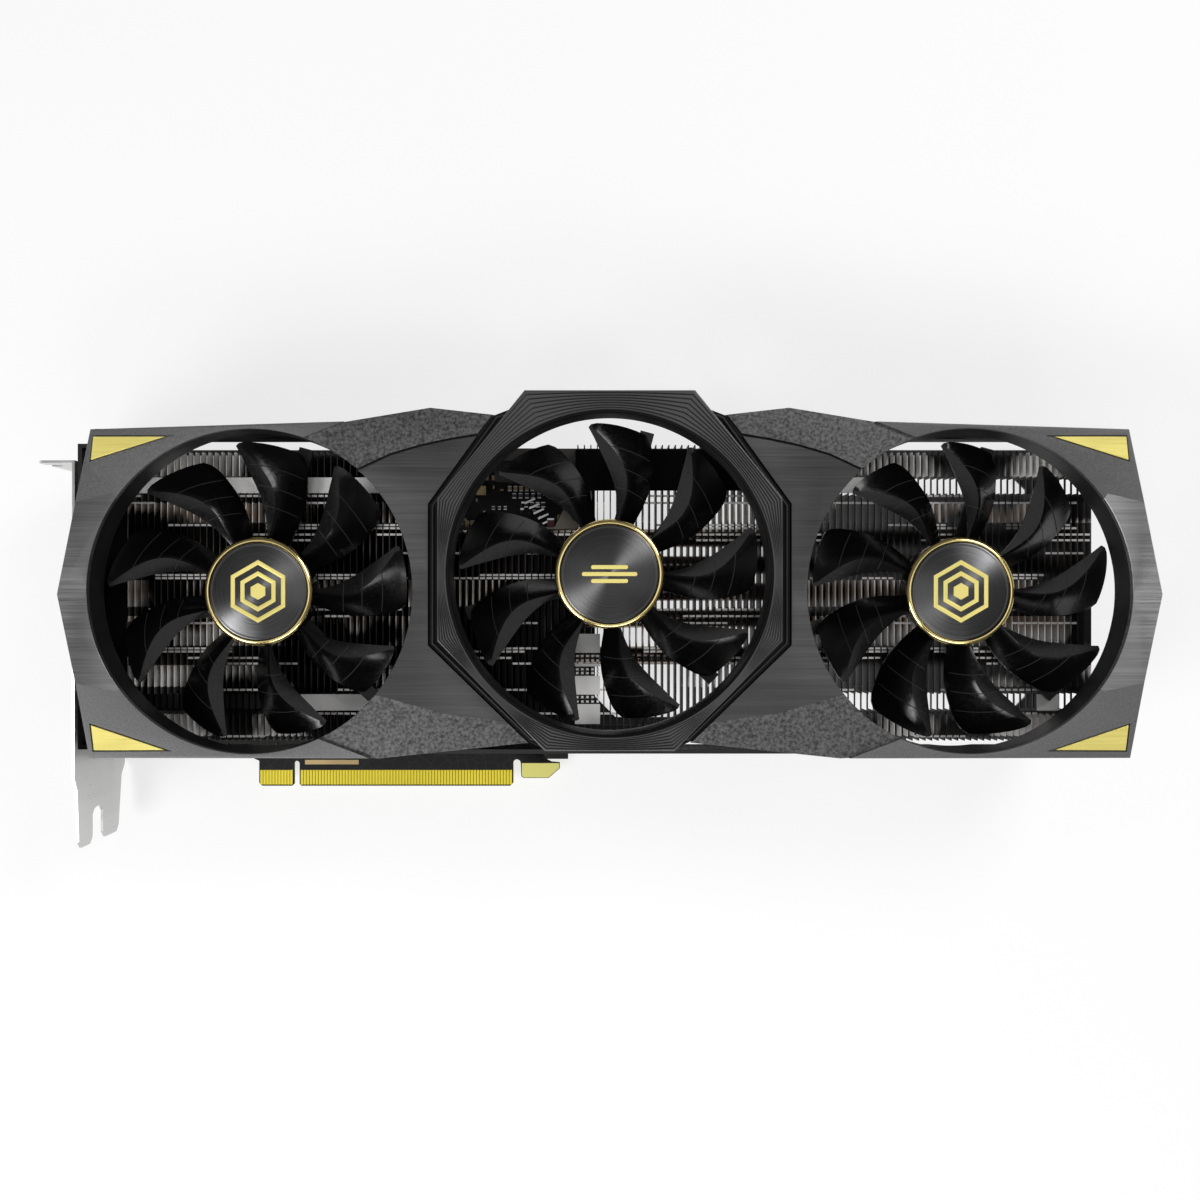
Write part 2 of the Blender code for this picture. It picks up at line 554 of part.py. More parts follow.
def build_fan(m, tag, cx, cy, lift):
    # rotor: cup-shaped hub, open underneath for the motor, with nine swept blades
    bm = bmesh.new()
    n = 36
    profile = [(0.0, 39.9), (HUB_R, 39.9), (HUB_R, 32.2), (14.4, 32.2), (14.4, 38.3), (0.0, 38.3)]
    loops = []
    for r, z in profile[1:5]:
        loops.append([bm.verts.new((cx + r * math.cos(2 * math.pi * i / n),
                                    cy + r * math.sin(2 * math.pi * i / n), z + lift))
                      for i in range(n)])
    top = bm.verts.new((cx, cy, 39.9 + lift))
    bot = bm.verts.new((cx, cy, 38.3 + lift))
    for a, b in zip(loops, loops[1:]):
        for i in range(n):
            j = (i + 1) % n
            bm.faces.new((a[i], a[j], b[j], b[i]))
    for i in range(n):
        j = (i + 1) % n
        bm.faces.new((top, loops[0][j], loops[0][i]))
        bm.faces.new((bot, loops[-1][i], loops[-1][j]))
    rotor = new_object("fan_rotor_" + tag, bm, m["rotor"], smooth=35)

    bm = bmesh.new()
    nr, nu = 5, 4
    radii = [HUB_R - 0.9 + (FAN_TIP_R - HUB_R + 0.9) * i / nr for i in range(nr + 1)]
    for b in range(BLADES):
        base = LE_TIP_ANGLE + 360.0 * b / BLADES
        skin = {}
        for s in (1, -1):
            for i, r in enumerate(radii):
                for k in range(nu + 1):
                    u = k / nu
                    ang, z = blade_point(r, u, s, lift)
                    rr = r
                    if i == nr:
                        rr = r - 1.7 * u ** 1.5       # tip corner drawn in
                    a = math.radians(90.0 - (base + ang))
                    skin[s, i, k] = bm.verts.new((cx + rr * math.cos(a), cy + rr * math.sin(a), z))
        for i in range(nr):
            for k in range(nu):
                bm.faces.new((skin[1, i, k], skin[1, i + 1, k], skin[1, i + 1, k + 1], skin[1, i, k + 1]))
                bm.faces.new((skin[-1, i, k], skin[-1, i, k + 1], skin[-1, i + 1, k + 1], skin[-1, i + 1, k]))
        for i in range(nr):
            for k in (0, nu):
                bm.faces.new((skin[1, i, k], skin[1, i + 1, k], skin[-1, i + 1, k], skin[-1, i, k]))
        for k in range(nu):
            for i in (0, nr):
                bm.faces.new((skin[1, i, k], skin[1, i, k + 1], skin[-1, i, k + 1], skin[-1, i, k]))
    boolean(rotor, cutter("add_blades_" + tag, bm), "UNION")

    # spun metal cap in a polished ring
    prism("hub_cap_" + tag, circle(cx, cy, 14.9, 36), 40.2 + lift, 40.9 + lift, m["cap"], smooth=35)
    bm = bmesh.new()
    ring_solid(bm, cx, cy, 15.1, 16.6, 40.2 + lift, 41.2 + lift, 36)
    new_object("hub_ring_" + tag, bm, m["ring"], smooth=35)

    # fixed frame: motor base and three struts ending in screw bosses
    frame = prism("fan_frame_" + tag, circle(cx, cy, 15.6, 40), 28.4, 30.2, m["frame"], smooth=35)
    bm = bmesh.new()
    for ang in (75.0, 195.0, 315.0):
        a = math.radians(ang)
        d, p = Vector((math.cos(a), math.sin(a))), Vector((-math.sin(a), math.cos(a)))
        c = Vector((cx, cy))
        pts = [c + d * 13.0 - p * 3.2, c + d * 46.5 - p * 2.2, c + d * 46.5 + p * 2.2, c + d * 13.0 + p * 3.2]
        add_prism(bm, [tuple(q) for q in pts], 28.45, 30.15)
    boolean(frame, cutter("add_struts_" + tag, bm), "UNION")
    if lift:
        # taller pedestal under the raised middle motor
        bm = bmesh.new()
        add_prism(bm, circle(cx, cy, 11.0, 40), 30.0, 30.2 + lift)
        boolean(frame, cutter("add_pedestal_" + tag, bm), "UNION")

    # motor: six-tooth stator round the bearing bore, shaft in the bore
    bm = bmesh.new()
    teeth = []
    for t in range(6):
        for off, r in ((-24, 13.2), (24, 13.2), (25, 6.4), (35, 6.4)):
            a = math.radians(60.0 * t + off)
            teeth.append((cx + r * math.cos(a), cy + r * math.sin(a)))
    add_prism(bm, teeth, 30.6 + lift, 37.6 + lift)
    stator = new_object("motor_stator_" + tag, bm, m["stator"])
    bm = bmesh.new()
    add_prism(bm, circle(cx, cy, 2.1, 20), 28.0 + lift, 40.0 + lift)
    boolean(stator, cutter("cut_stator_" + tag, bm))
    prism("fan_shaft_" + tag, circle(cx, cy, 1.5, 20), 31.0 + lift, 38.0 + lift, m["shaft"], smooth=35)


def build_screws(m):
    for i, (x, y) in enumerate(COOLER_SCREWS):
        bm = bmesh.new()
        n = 20
        levels = [(3.1, 0.1), (3.1, 1.4), (1.6, 1.4), (1.6, 8.0)]
        rings = [[bm.verts.new((px, py, z)) for px, py in circle(x, y, r, n)] for r, z in levels]
        for a, b in zip(rings, rings[1:]):
            for k in range(n):
                j = (k + 1) % n
                bm.faces.new((a[k], a[j], b[j], b[k]))
        bm.faces.new(rings[0])
        bm.faces.new(rings[-1])
        obj = new_object("cooler_screw_%d" % (i + 1), bm, m["screw"], smooth=35)
        # cross recess
        bm = bmesh.new()
        add_prism(bm, [(x - 1.7, y - 0.4), (x - 0.4, y - 0.4), (x - 0.4, y - 1.7), (x + 0.4, y - 1.7),
                       (x + 0.4, y - 0.4), (x + 1.7, y - 0.4), (x + 1.7, y + 0.4), (x + 0.4, y + 0.4),
                       (x + 0.4, y + 1.7), (x - 0.4, y + 1.7), (x - 0.4, y + 0.4), (x - 1.7, y + 0.4)],
                  -1.0, 0.8)
        boolean(obj, cutter("cut_cooler_screw_%d" % (i + 1), bm))


def main():
    clear_scene()
    m = materials()
    build_backplate(m)
    build_pcb(m)
    build_bracket(m)
    build_ports(m)
    build_components(m)
    build_cooler(m)
    build_covers(m)
    build_shroud_body(m)
    build_bezel(m)
    build_fan(m, "left", SHROUD_X0 - FAN_PITCH, FAN_Y, 0.0)
    build_fan(m, "middle", SHROUD_X0, MID_FAN_Y, MID_LIFT)
    build_fan(m, "right", SHROUD_X0 + FAN_PITCH, FAN_Y, 0.0)
    build_screws(m)


main()
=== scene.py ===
import math
import random

import bmesh
import bpy
from mathutils import Matrix, Vector, noise


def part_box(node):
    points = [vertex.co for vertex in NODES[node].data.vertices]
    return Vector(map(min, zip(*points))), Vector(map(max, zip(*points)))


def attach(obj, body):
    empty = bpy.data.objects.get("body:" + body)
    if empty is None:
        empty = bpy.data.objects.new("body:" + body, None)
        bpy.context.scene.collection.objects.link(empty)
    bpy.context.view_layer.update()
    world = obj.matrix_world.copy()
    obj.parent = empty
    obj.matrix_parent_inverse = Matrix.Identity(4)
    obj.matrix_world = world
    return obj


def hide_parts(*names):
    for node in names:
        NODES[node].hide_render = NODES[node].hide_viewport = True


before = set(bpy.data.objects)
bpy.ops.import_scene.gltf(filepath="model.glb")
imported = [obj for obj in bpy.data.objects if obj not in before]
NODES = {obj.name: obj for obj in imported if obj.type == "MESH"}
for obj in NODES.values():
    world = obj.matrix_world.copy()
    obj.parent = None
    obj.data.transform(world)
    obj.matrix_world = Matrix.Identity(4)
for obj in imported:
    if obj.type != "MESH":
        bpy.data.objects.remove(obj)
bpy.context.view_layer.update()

MM = 0.001

# ------------------------------------------------------------ key dimensions (mm)
X0 = 5.6                 # mirror line of the shroud
PITCH = 107.2
FAN_Y, MID_Y = 10.35, 15.55
OPEN_R, MID_R = 48.4, 48.3
TIP_R, HUB_R = 45.7, 16.2
LIFT = 3.6
FANS = {"left": (X0 - PITCH, FAN_Y, 0.0), "middle": (X0, MID_Y, LIFT), "right": (X0 + PITCH, FAN_Y, 0.0)}
Z_COVER = 50.0
Z_BEZEL = 54.0

# ------------------------------------------------------------ camera, lights, floor
cam_data = bpy.data.cameras.new("camera")
cam_data.lens = 35.0
cam_data.sensor_width = 36.0
cam_data.clip_start = 0.01
cam_data.clip_end = 50.0
cam_data.dof.use_dof = False
cam = bpy.data.objects.new("camera", cam_data)
cam.location = (0.0027, 0.0077, 0.3968)
cam.rotation_euler = (0.0, 0.0, 0.0)
bpy.context.scene.collection.objects.link(cam)
bpy.context.scene.camera = cam
bpy.context.scene.view_settings.view_transform = "Standard"
bpy.context.scene.view_settings.look = "None"


def area_light(name, loc, target, sx, sy, power, color=(1, 1, 1)):
    data = bpy.data.lights.new(name, "AREA")
    data.shape = "RECTANGLE"
    data.size, data.size_y = sx, sy
    data.energy = power
    data.color = color
    obj = bpy.data.objects.new(name, data)
    obj.location = loc
    d = Vector(target) - Vector(loc)
    obj.rotation_euler = d.to_track_quat("-Z", "Y").to_euler()
    obj.visible_camera = False
    bpy.context.scene.collection.objects.link(obj)
    return obj


area_light("softbox_upper_right", (0.62, 0.55, 0.70), (0.02, 0.0, 0.03), 0.50, 0.36, 4.4)
area_light("softbox_lower_left", (-0.62, -0.52, 0.72), (0.0, 0.0, 0.03), 0.50, 0.36, 6.0)
area_light("softbox_front", (0.15, -0.80, 0.70), (0.0, 0.0, 0.03), 0.7, 0.25, 3.0)
area_light("softbox_overhead", (0.02, 0.02, 1.25), (0.02, 0.02, 0.0), 1.15, 0.42, 1.45)

world = bpy.data.worlds.new("studio")
bpy.context.scene.world = world
world.use_nodes = True
wn = world.node_tree
wn.nodes.clear()
w_out = wn.nodes.new("ShaderNodeOutputWorld")
w_bg = wn.nodes.new("ShaderNodeBackground")
w_bg.inputs["Color"].default_value = (1.0, 1.0, 1.0, 1.0)
w_bg.inputs["Strength"].default_value = 0.13
wn.links.new(w_bg.outputs[0], w_out.inputs[0])


# ------------------------------------------------------------ node material helpers
class Mat:
    """A node tree with a few short-hands."""

    def __init__(self, name):
        self.mat = bpy.data.materials.new(name)
        self.mat.use_nodes = True
        self.t = self.mat.node_tree
        self.t.nodes.clear()
        self.out = self.new("ShaderNodeOutputMaterial")
        self.bsdf = self.new("ShaderNodeBsdfPrincipled")
        self.link(self.bsdf.outputs[0], self.out.inputs["Surface"])
        self.coord = self.new("ShaderNodeTexCoord")

    def new(self, kind, **props):
        node = self.t.nodes.new(kind)
        for k, v in props.items():
            setattr(node, k, v)
        return node

    def link(self, a, b):
        self.t.links.new(a, b)

    def set(self, **vals):
        for k, v in vals.items():
            key = k.replace("_", " ")
            sock = self.bsdf.inputs[key]
            sock.default_value = (*v, 1.0) if isinstance(v, tuple) and len(v) == 3 else v
        return self

    def mapping(self, scale=(1, 1, 1), rot=(0, 0, 0), loc=(0, 0, 0), src="Object"):
        m = self.new("ShaderNodeMapping")
        m.inputs["Scale"].default_value = scale
        m.inputs["Rotation"].default_value = rot
        m.inputs["Location"].default_value = loc
        self.link(self.coord.outputs[src], m.inputs["Vector"])
        return m.outputs[0]

    def noise(self, vec, scale, detail=2.0, rough=0.5, dim="3D", distortion=0.0):
        n = self.new("ShaderNodeTexNoise", noise_dimensions=dim)
        n.inputs["Scale"].default_value = scale
        n.inputs["Detail"].default_value = detail
        n.inputs["Roughness"].default_value = rough
        n.inputs["Distortion"].default_value = distortion
        self.link(vec, n.inputs["Vector"])
        return n.outputs["Fac"]

    def ramp(self, fac, stops):
        r = self.new("ShaderNodeValToRGB")
        els = r.color_ramp.elements
        while len(els) < len(stops):
            els.new(0.5)
        for e, (p, c) in zip(els, stops):
            e.position = p
            e.color = (*c, 1.0) if not isinstance(c, (int, float)) else (c, c, c, 1.0)
        self.link(fac, r.inputs["Fac"])
        return r.outputs["Color"]

    def mix(self, fac, a, b, blend="MIX"):
        m = self.new("ShaderNodeMix", data_type="RGBA", blend_type=blend)
        for idx, v in ((0, fac), (6, a), (7, b)):
            sock = m.inputs[idx]
            if isinstance(v, (int, float)):
                sock.default_value = v if idx == 0 else (v, v, v, 1.0)
            elif isinstance(v, tuple):
                sock.default_value = (*v, 1.0)
            else:
                self.link(v, sock)
        return m.outputs[2]

    def math(self, op, a, b=None, c=None, clamp=False):
        m = self.new("ShaderNodeMath", operation=op, use_clamp=clamp)
        for i, v in enumerate((a, b, c)):
            if v is None:
                continue
            if isinstance(v, (int, float)):
                m.inputs[i].default_value = v
            else:
                self.link(v, m.inputs[i])
        return m.outputs[0]

    def maprange(self, v, a, b, lo, hi, kind="LINEAR"):
        m = self.new("ShaderNodeMapRange", interpolation_type=kind)
        for i, x in ((1, a), (2, b), (3, lo), (4, hi)):
            m.inputs[i].default_value = x
        self.link(v, m.inputs[0])
        return m.outputs[0]

    def bump(self, height, strength=0.3, distance=0.0002, normal=None):
        b = self.new("ShaderNodeBump")
        b.inputs["Strength"].default_value = strength
        b.inputs["Distance"].default_value = distance
        self.link(height, b.inputs["Height"])
        if normal is not None:
            self.link(normal, b.inputs["Normal"])
        return b.outputs[0]

    def to(self, key, value):
        self.link(value, self.bsdf.inputs[key])
        return self

    def xyz(self, vec=None):
        s = self.new("ShaderNodeSeparateXYZ")
        self.link(vec if vec is not None else self.coord.outputs["Object"], s.inputs[0])
        return s.outputs


def mat_blasted(name, dark, light, rough=0.5, metal=0.55, grain=1500.0, bump=0.35):
    """Sand-blasted metal: coarse speckle with cloudy variation."""
    m = Mat(name)
    v = m.mapping()
    fine = m.noise(v, grain, 3.0, 0.6)
    mid = m.noise(v, grain * 0.33, 2.0, 0.5)
    cloud = m.noise(v, 25.0, 2.0, 0.5)
    f = m.math("ADD", m.math("MULTIPLY", fine, 0.85), m.math("MULTIPLY", mid, 0.15))
    col = m.ramp(f, [(0.37, dark), (0.63, light)])
    shade = m.maprange(cloud, 0.3, 0.7, 0.97, 1.03)
    sh = m.new("ShaderNodeCombineColor")
    for i in range(3):
        m.link(shade, sh.inputs[i])
    m.to("Base Color", m.mix(1.0, col, sh.outputs[0], "MULTIPLY"))
    m.to("Roughness", m.maprange(fine, 0.3, 0.7, rough - 0.08, rough + 0.1))
    m.set(Metallic=metal)
    m.to("Normal", m.bump(f, bump, 0.00012))
    return m.mat


def mat_brushed(name, dark, light, rough=0.38, metal=0.8, along="X", scale=1.0, bump=0.25, aniso=0.55,
                sheen=None):
    """Brushed metal: streaks drawn out along one axis."""
    m = Mat(name)
    s = (34.0, 1900.0, 200.0) if along == "X" else (1900.0, 34.0, 200.0)
    v = m.mapping(scale=tuple(q * scale for q in s))
    streak = m.noise(v, 1.0, 4.0, 0.65)
    s2 = (12.0, 420.0, 60.0) if along == "X" else (420.0, 12.0, 60.0)
    v2 = m.mapping(scale=tuple(q * scale for q in s2), loc=(3.1, 7.7, 1.3))
    wide = m.noise(v2, 1.0, 2.0, 0.5)
    f = m.math("ADD", m.math("MULTIPLY", streak, 0.6), m.math("MULTIPLY", wide, 0.4))
    m.to("Base Color", m.ramp(f, [(0.33, dark), (0.67, light)]))
    m.to("Roughness", m.maprange(streak, 0.3, 0.7, rough - 0.07, rough + 0.09))
    m.set(Metallic=metal, Anisotropic=aniso)
    m.to("Normal", m.bump(f, bump, 0.00008))
    return m.mat


def mat_plastic(name, color, rough=0.45, grain=2200.0, bump=0.15, var=0.25, spec=0.5):
    """Moulded plastic with a fine spark-eroded texture."""
    m = Mat(name)
    v = m.mapping()
    fine = m.noise(v, grain, 2.0, 0.5)
    cloud = m.noise(v, 40.0, 2.0, 0.5)
    lo = tuple(c * (1 - var) for c in color)
    hi = tuple(c * (1 + var) for c in color)
    m.to("Base Color", m.ramp(cloud, [(0.3, lo), (0.7, hi)]))
    m.to("Roughness", m.maprange(fine, 0.3, 0.7, rough - 0.05, rough + 0.07))
    m.bsdf.inputs["Specular IOR Level"].default_value = spec
    m.to("Normal", m.bump(fine, bump, 0.00008))
    return m.mat


def mat_metal(name, color, rough=0.3, var=0.12, metal=1.0, scale=60.0, bump=0.05, stretch=(1, 1, 1)):
    """Plated or bare metal with faint rolling marks."""
    m = Mat(name)
    v = m.mapping(scale=stretch)
    cloud = m.noise(v, scale, 3.0, 0.55)
    fine = m.noise(v, scale * 18.0, 2.0, 0.5)
    lo = tuple(c * (1 - var) for c in color)
    hi = tuple(min(1.0, c * (1 + var)) for c in color)
    m.to("Base Color", m.ramp(cloud, [(0.3, lo), (0.7, hi)]))
    m.to("Roughness", m.maprange(cloud, 0.3, 0.7, max(0.02, rough - 0.05), rough + 0.06))
    m.set(Metallic=metal)
    m.to("Normal", m.bump(fine, bump, 0.00005))
    return m.mat


def mat_spun_painted_sheen(name, cx, cy, dark, light, rough=0.30):
    """Circular spun metal about one hub's axis: rings of fine turning marks, plus a painted highlight, a fixed bow-tie
    sheen painted lighter along one diagonal.
    """
    m = Mat(name)
    v = m.mapping(loc=(-cx * MM, -cy * MM, 0.0))
    x, y, _ = m.xyz(v)
    r = m.math("SQRT", m.math("ADD", m.math("MULTIPLY", x, x), m.math("MULTIPLY", y, y)))
    comb = m.new("ShaderNodeCombineXYZ")
    m.link(m.math("MULTIPLY", r, 9000.0), comb.inputs[0])
    ang = m.math("ARCTAN2", y, x)
    m.link(m.math("MULTIPLY", ang, 0.25), comb.inputs[1])
    rings = m.noise(comb.outputs[0], 1.0, 3.0, 0.6)
    wide = m.new("ShaderNodeCombineXYZ")
    m.link(m.math("MULTIPLY", r, 1600.0), wide.inputs[0])
    rings2 = m.noise(wide.outputs[0], 1.0, 2.0, 0.5)
    f = m.math("ADD", m.math("MULTIPLY", rings, 0.6), m.math("MULTIPLY", rings2, 0.4))
    # painted highlight: two opposite sectors along the 43 degree diagonal are painted lighter as a fixed bow-tie sheen
    painted_sheen_lobe = m.math("POWER", m.math("ABSOLUTE", m.math("COSINE", m.math("SUBTRACT", ang, math.radians(43.0)))), 16.0)
    base = m.ramp(f, [(0.3, dark), (0.7, light)])
    m.to("Base Color", m.mix(m.math("MULTIPLY_ADD", painted_sheen_lobe, 0.26, 0.03), base, (0.62, 0.62, 0.63)))
    m.to("Roughness", m.maprange(rings, 0.3, 0.7, rough - 0.06, rough + 0.08))
    m.set(Metallic=0.95, Anisotropic=0.7, Anisotropic_Rotation=0.25)
    tan = m.new("ShaderNodeTangent", direction_type="RADIAL", axis="Z")
    m.link(tan.outputs[0], m.bsdf.inputs["Tangent"])
    m.to("Normal", m.bump(f, 0.15, 0.00003))
    return m.mat


def mat_board(name):
    """Black solder mask with faint copper traces under it."""
    m = Mat(name)
    v = m.mapping(scale=(1, 1, 1))
    vor = m.new("ShaderNodeTexVoronoi", feature="DISTANCE_TO_EDGE", distance="MANHATTAN")
    vor.inputs["Scale"].default_value = 260.0
    m.link(v, vor.inputs["Vector"])
    lines = m.maprange(vor.outputs[0], 0.02, 0.08, 1.0, 0.0)
    fine = m.noise(v, 1800.0, 2.0, 0.5)
    col = m.mix(lines, (0.006, 0.0065, 0.0065), (0.013, 0.0135, 0.012))
    m.to("Base Color", col)
    m.to("Roughness", m.maprange(fine, 0.3, 0.7, 0.52, 0.62))
    m.bsdf.inputs["Specular IOR Level"].default_value = 0.25
    m.to("Normal", m.bump(lines, 0.3, 0.00004))
    return m.mat


M = {}
M["blast"] = mat_blasted("blasted_grey", (0.046, 0.046, 0.046), (0.164, 0.164, 0.164), 0.5, 0.55, 1050.0, 0.5)
M["end"] = mat_blasted("satin_grey_end", (0.14, 0.14, 0.14), (0.205, 0.205, 0.205), 0.46, 0.55, 2300.0, 0.18)
M["band"] = mat_brushed("brushed_grey_band", (0.066, 0.066, 0.066), (0.118, 0.118, 0.118))
M["tip"] = mat_brushed("brushed_grey_tip", (0.15, 0.15, 0.15), (0.25, 0.25, 0.25), 0.36)
# painted shade and painted light: the right-hand end and tip are copies of the left finishes, painted darker and
# lighter
M["end_painted_darker"] = mat_blasted("satin_grey_end_far", (0.092, 0.092, 0.092), (0.138, 0.138, 0.138), 0.46, 0.55, 2300.0, 0.18)
M["tip_painted_lighter"] = mat_brushed("brushed_grey_tip_far", (0.24, 0.24, 0.24), (0.41, 0.41, 0.41), 0.36)
M["body"] = mat_plastic("shroud_black", (0.010, 0.010, 0.0105), 0.42)
M["bezel"] = mat_plastic("bezel_charcoal", (0.060, 0.060, 0.062), 0.38, 2600.0, 0.12, 0.1)
M["bezel_base"] = mat_plastic("bezel_black", (0.003, 0.003, 0.003), 0.4, 2200.0, 0.1, 0.25, 0.15)
M["blade"] = mat_plastic("rotor_gloss_black", (0.0022, 0.0022, 0.0023), 0.18, 900.0, 0.008, 0.2, 0.32)
M["rib"] = mat_plastic("rotor_rib_black", (0.016, 0.016, 0.016), 0.6, 900.0, 0.05, 0.2, 0.2)
M["frame"] = mat_plastic("frame_black", (0.009, 0.009, 0.009), 0.5)
M["inlay"] = mat_brushed("inlay_gold", (0.79, 0.665, 0.172), (0.95, 0.835, 0.25), 0.42, 0.3, "X", 1.6, 0.2, 0.3)
M["ring"] = mat_metal("ring_gold", (0.87, 0.70, 0.30), 0.16, 0.06)
M["emblem"] = mat_metal("emblem_gold", (0.95, 0.81, 0.26), 0.35, 0.04, 0.3)
M["fin"] = mat_metal("fin_aluminium", (0.74, 0.72, 0.70), 0.36, 0.10, 0.35, 90.0, 0.03, (0.2, 1, 4))
# painted shade: the left and middle base plates are the fin aluminium painted near black
M["fin_base"] = mat_metal("fin_base_painted_shade", (0.035, 0.032, 0.030), 0.5, 0.2, 0.3)
M["pipe"] = mat_metal("nickel_copper", (0.30, 0.25, 0.22), 0.24, 0.2)
M["plate"] = mat_metal("cold_plate_nickel", (0.13, 0.115, 0.10), 0.3, 0.1)
M["board"] = mat_board("board_black")
M["contact"] = mat_metal("contact_gold", (0.98, 0.80, 0.045), 0.34, 0.02, 0.15)
M["contact_pale"] = mat_metal("contact_pale_gold", (0.88, 0.83, 0.24), 0.4, 0.03, 0.1)
M["marking"] = mat_plastic("marking_tan", (0.62, 0.44, 0.20), 0.5)
M["mask_green"] = mat_plastic("laminate_edge", (0.05, 0.07, 0.02), 0.5)
M["bracket"] = mat_metal("bracket_nickel", (0.62, 0.62, 0.61), 0.32, 0.05, 0.55, 40.0, 0.04, (1, 8, 1))
M["port"] = mat_metal("port_shell", (0.62, 0.62, 0.62), 0.3, 0.08)
M["socket"] = mat_plastic("socket_black", (0.012, 0.012, 0.012), 0.45)
M["substrate"] = mat_plastic("substrate_green", (0.03, 0.09, 0.04), 0.4)
M["die"] = mat_metal("die_silicon", (0.16, 0.18, 0.22), 0.12, 0.1, 0.5)
M["chip"] = mat_plastic("chip_black", (0.014, 0.014, 0.015), 0.5)
M["choke"] = mat_plastic("choke_grey", (0.07, 0.07, 0.075), 0.55, 900.0, 0.3)
M["cap_tan"] = mat_plastic("capacitor_tan", (0.42, 0.30, 0.15), 0.4)
M["cap_red"] = mat_plastic("capacitor_red", (0.22, 0.018, 0.012), 0.4)
M["cap_blue"] = mat_plastic("capacitor_blue", (0.05, 0.08, 0.16), 0.4)
M["cap_can"] = mat_metal("capacitor_can", (0.6, 0.6, 0.6), 0.3)
M["stator"] = mat_metal("stator_steel", (0.24, 0.19, 0.14), 0.45, 0.2, 0.7)
M["shaft"] = mat_metal("shaft_steel", (0.6, 0.6, 0.6), 0.2)
M["screw"] = mat_metal("screw_black", (0.06, 0.06, 0.06), 0.34, 0.15)
M["backplate"] = mat_brushed("backplate_black", (0.016, 0.016, 0.017), (0.034, 0.034, 0.036), 0.42, 0.6, "X", 0.8, 0.2)
# painted shade: near-black material for sheets and walls that stand in for shade inside the shroud
M["coat"] = mat_plastic("black_painted_shade", (0.0015, 0.0015, 0.0015), 0.85, 900.0, 0.3, 0.25, 0.08)
for tag, (cx, cy, _) in FANS.items():
    # painted light: the outer fans' caps are the same spun metal painted 1.3 times lighter than the middle one
    g = 1.0 if tag == "middle" else 1.3
    M["spun_" + tag] = mat_spun_painted_sheen("spun_metal_painted_sheen_" + tag, cx, cy, (0.042 * g, 0.042 * g, 0.043 * g),
                                (0.070 * g, 0.070 * g, 0.072 * g))

def mat_fin_wall_painted_shade(name, low=0.455, high=0.52, shade=None):
    """Fin faces: light metal near the top edge with painted shade further down and in the unlit rows; straw heat tint
    over the pipes.
    """
    m = Mat(name)
    x, y, z = m.xyz()
    # painted shade: the fin faces go from light metal at the top edge to near black further down
    depth_shade = m.maprange(z, 0.0228, 0.0240, 0.0, 1.0)
    # painted shade: only these bands of Y keep lit fin faces
    lit_bands = [(-35.5, -28.5), (-19.8, -13.0), (-6.8, 2.6), (5.6, 14.0), (32.2, 38.6), (46.8, 54.6)]
    mask = None
    if shade:
        lit_bands = lit_bands[1:]
    for a, b in lit_bands:
        up = m.math("GREATER_THAN", y, a * MM)
        dn = m.math("LESS_THAN", y, b * MM)
        band = m.math("MULTIPLY", up, dn)
        mask = band if mask is None else m.math("MAXIMUM", mask, band)
    # painted shade: fins outside the lit bands are painted down to 7 percent
    rows = m.math("MULTIPLY_ADD", mask, 0.93, 0.07)
    # random blotches: this noise darkens patches of the fin faces towards near black
    blotch_noise = m.noise(m.mapping(scale=(1, 1, 1)), 48.0, 1.5, 0.5)
    patch = m.maprange(blotch_noise, low, high, 0.02, 1.0)
    f = m.math("MULTIPLY", m.math("MULTIPLY", depth_shade, rows), patch)
    # painted shade: the middle stack's fins are painted dark left of X shade[0] to shade[1] mm, except in the rows
    # above Y 5 mm
    if shade:
        unshaded_side = m.maprange(x, shade[0] * MM, shade[1] * MM, 0.0, 1.0)
        upper_rows = m.math("GREATER_THAN", y, 5.0 * MM)
        f = m.math("MULTIPLY", f, m.math("MAXIMUM", unshaded_side, upper_rows))
    tint = None
    for yc in (-10.5, 1.6, 10.4, 19.2, 28.0, 35.0):
        d = m.math("ABSOLUTE", m.math("SUBTRACT", y, yc * MM))
        t = m.maprange(d, 0.0, 0.0048, 1.0, 0.0)
        tint = t if tint is None else m.math("MAXIMUM", tint, t)
    metal = m.mix(tint, (0.97, 0.95, 0.93), (0.72, 0.61, 0.53))
    m.to("Base Color", m.mix(f, (0.004, 0.004, 0.004), metal))
    m.to("Roughness", m.maprange(blotch_noise, 0.3, 0.7, 0.42, 0.58))
    m.set(Metallic=0.25)
    m.bsdf.inputs["Specular IOR Level"].default_value = 0.2
    return m.mat


M["fin_wall"] = mat_fin_wall_painted_shade("fin_aluminium_wall_painted_shade")
M["fin_wall_middle"] = mat_fin_wall_painted_shade("fin_aluminium_wall_middle", 0.46, 0.52, (-16.0, 4.0))
# painted light: near-white strips and plates in the stacks stand in for bright floor seen through
M["strip"] = mat_metal("stack_strip_painted_light", (0.95, 0.94, 0.925), 0.45, 0.03, 0.05, 60.0, 0.03)

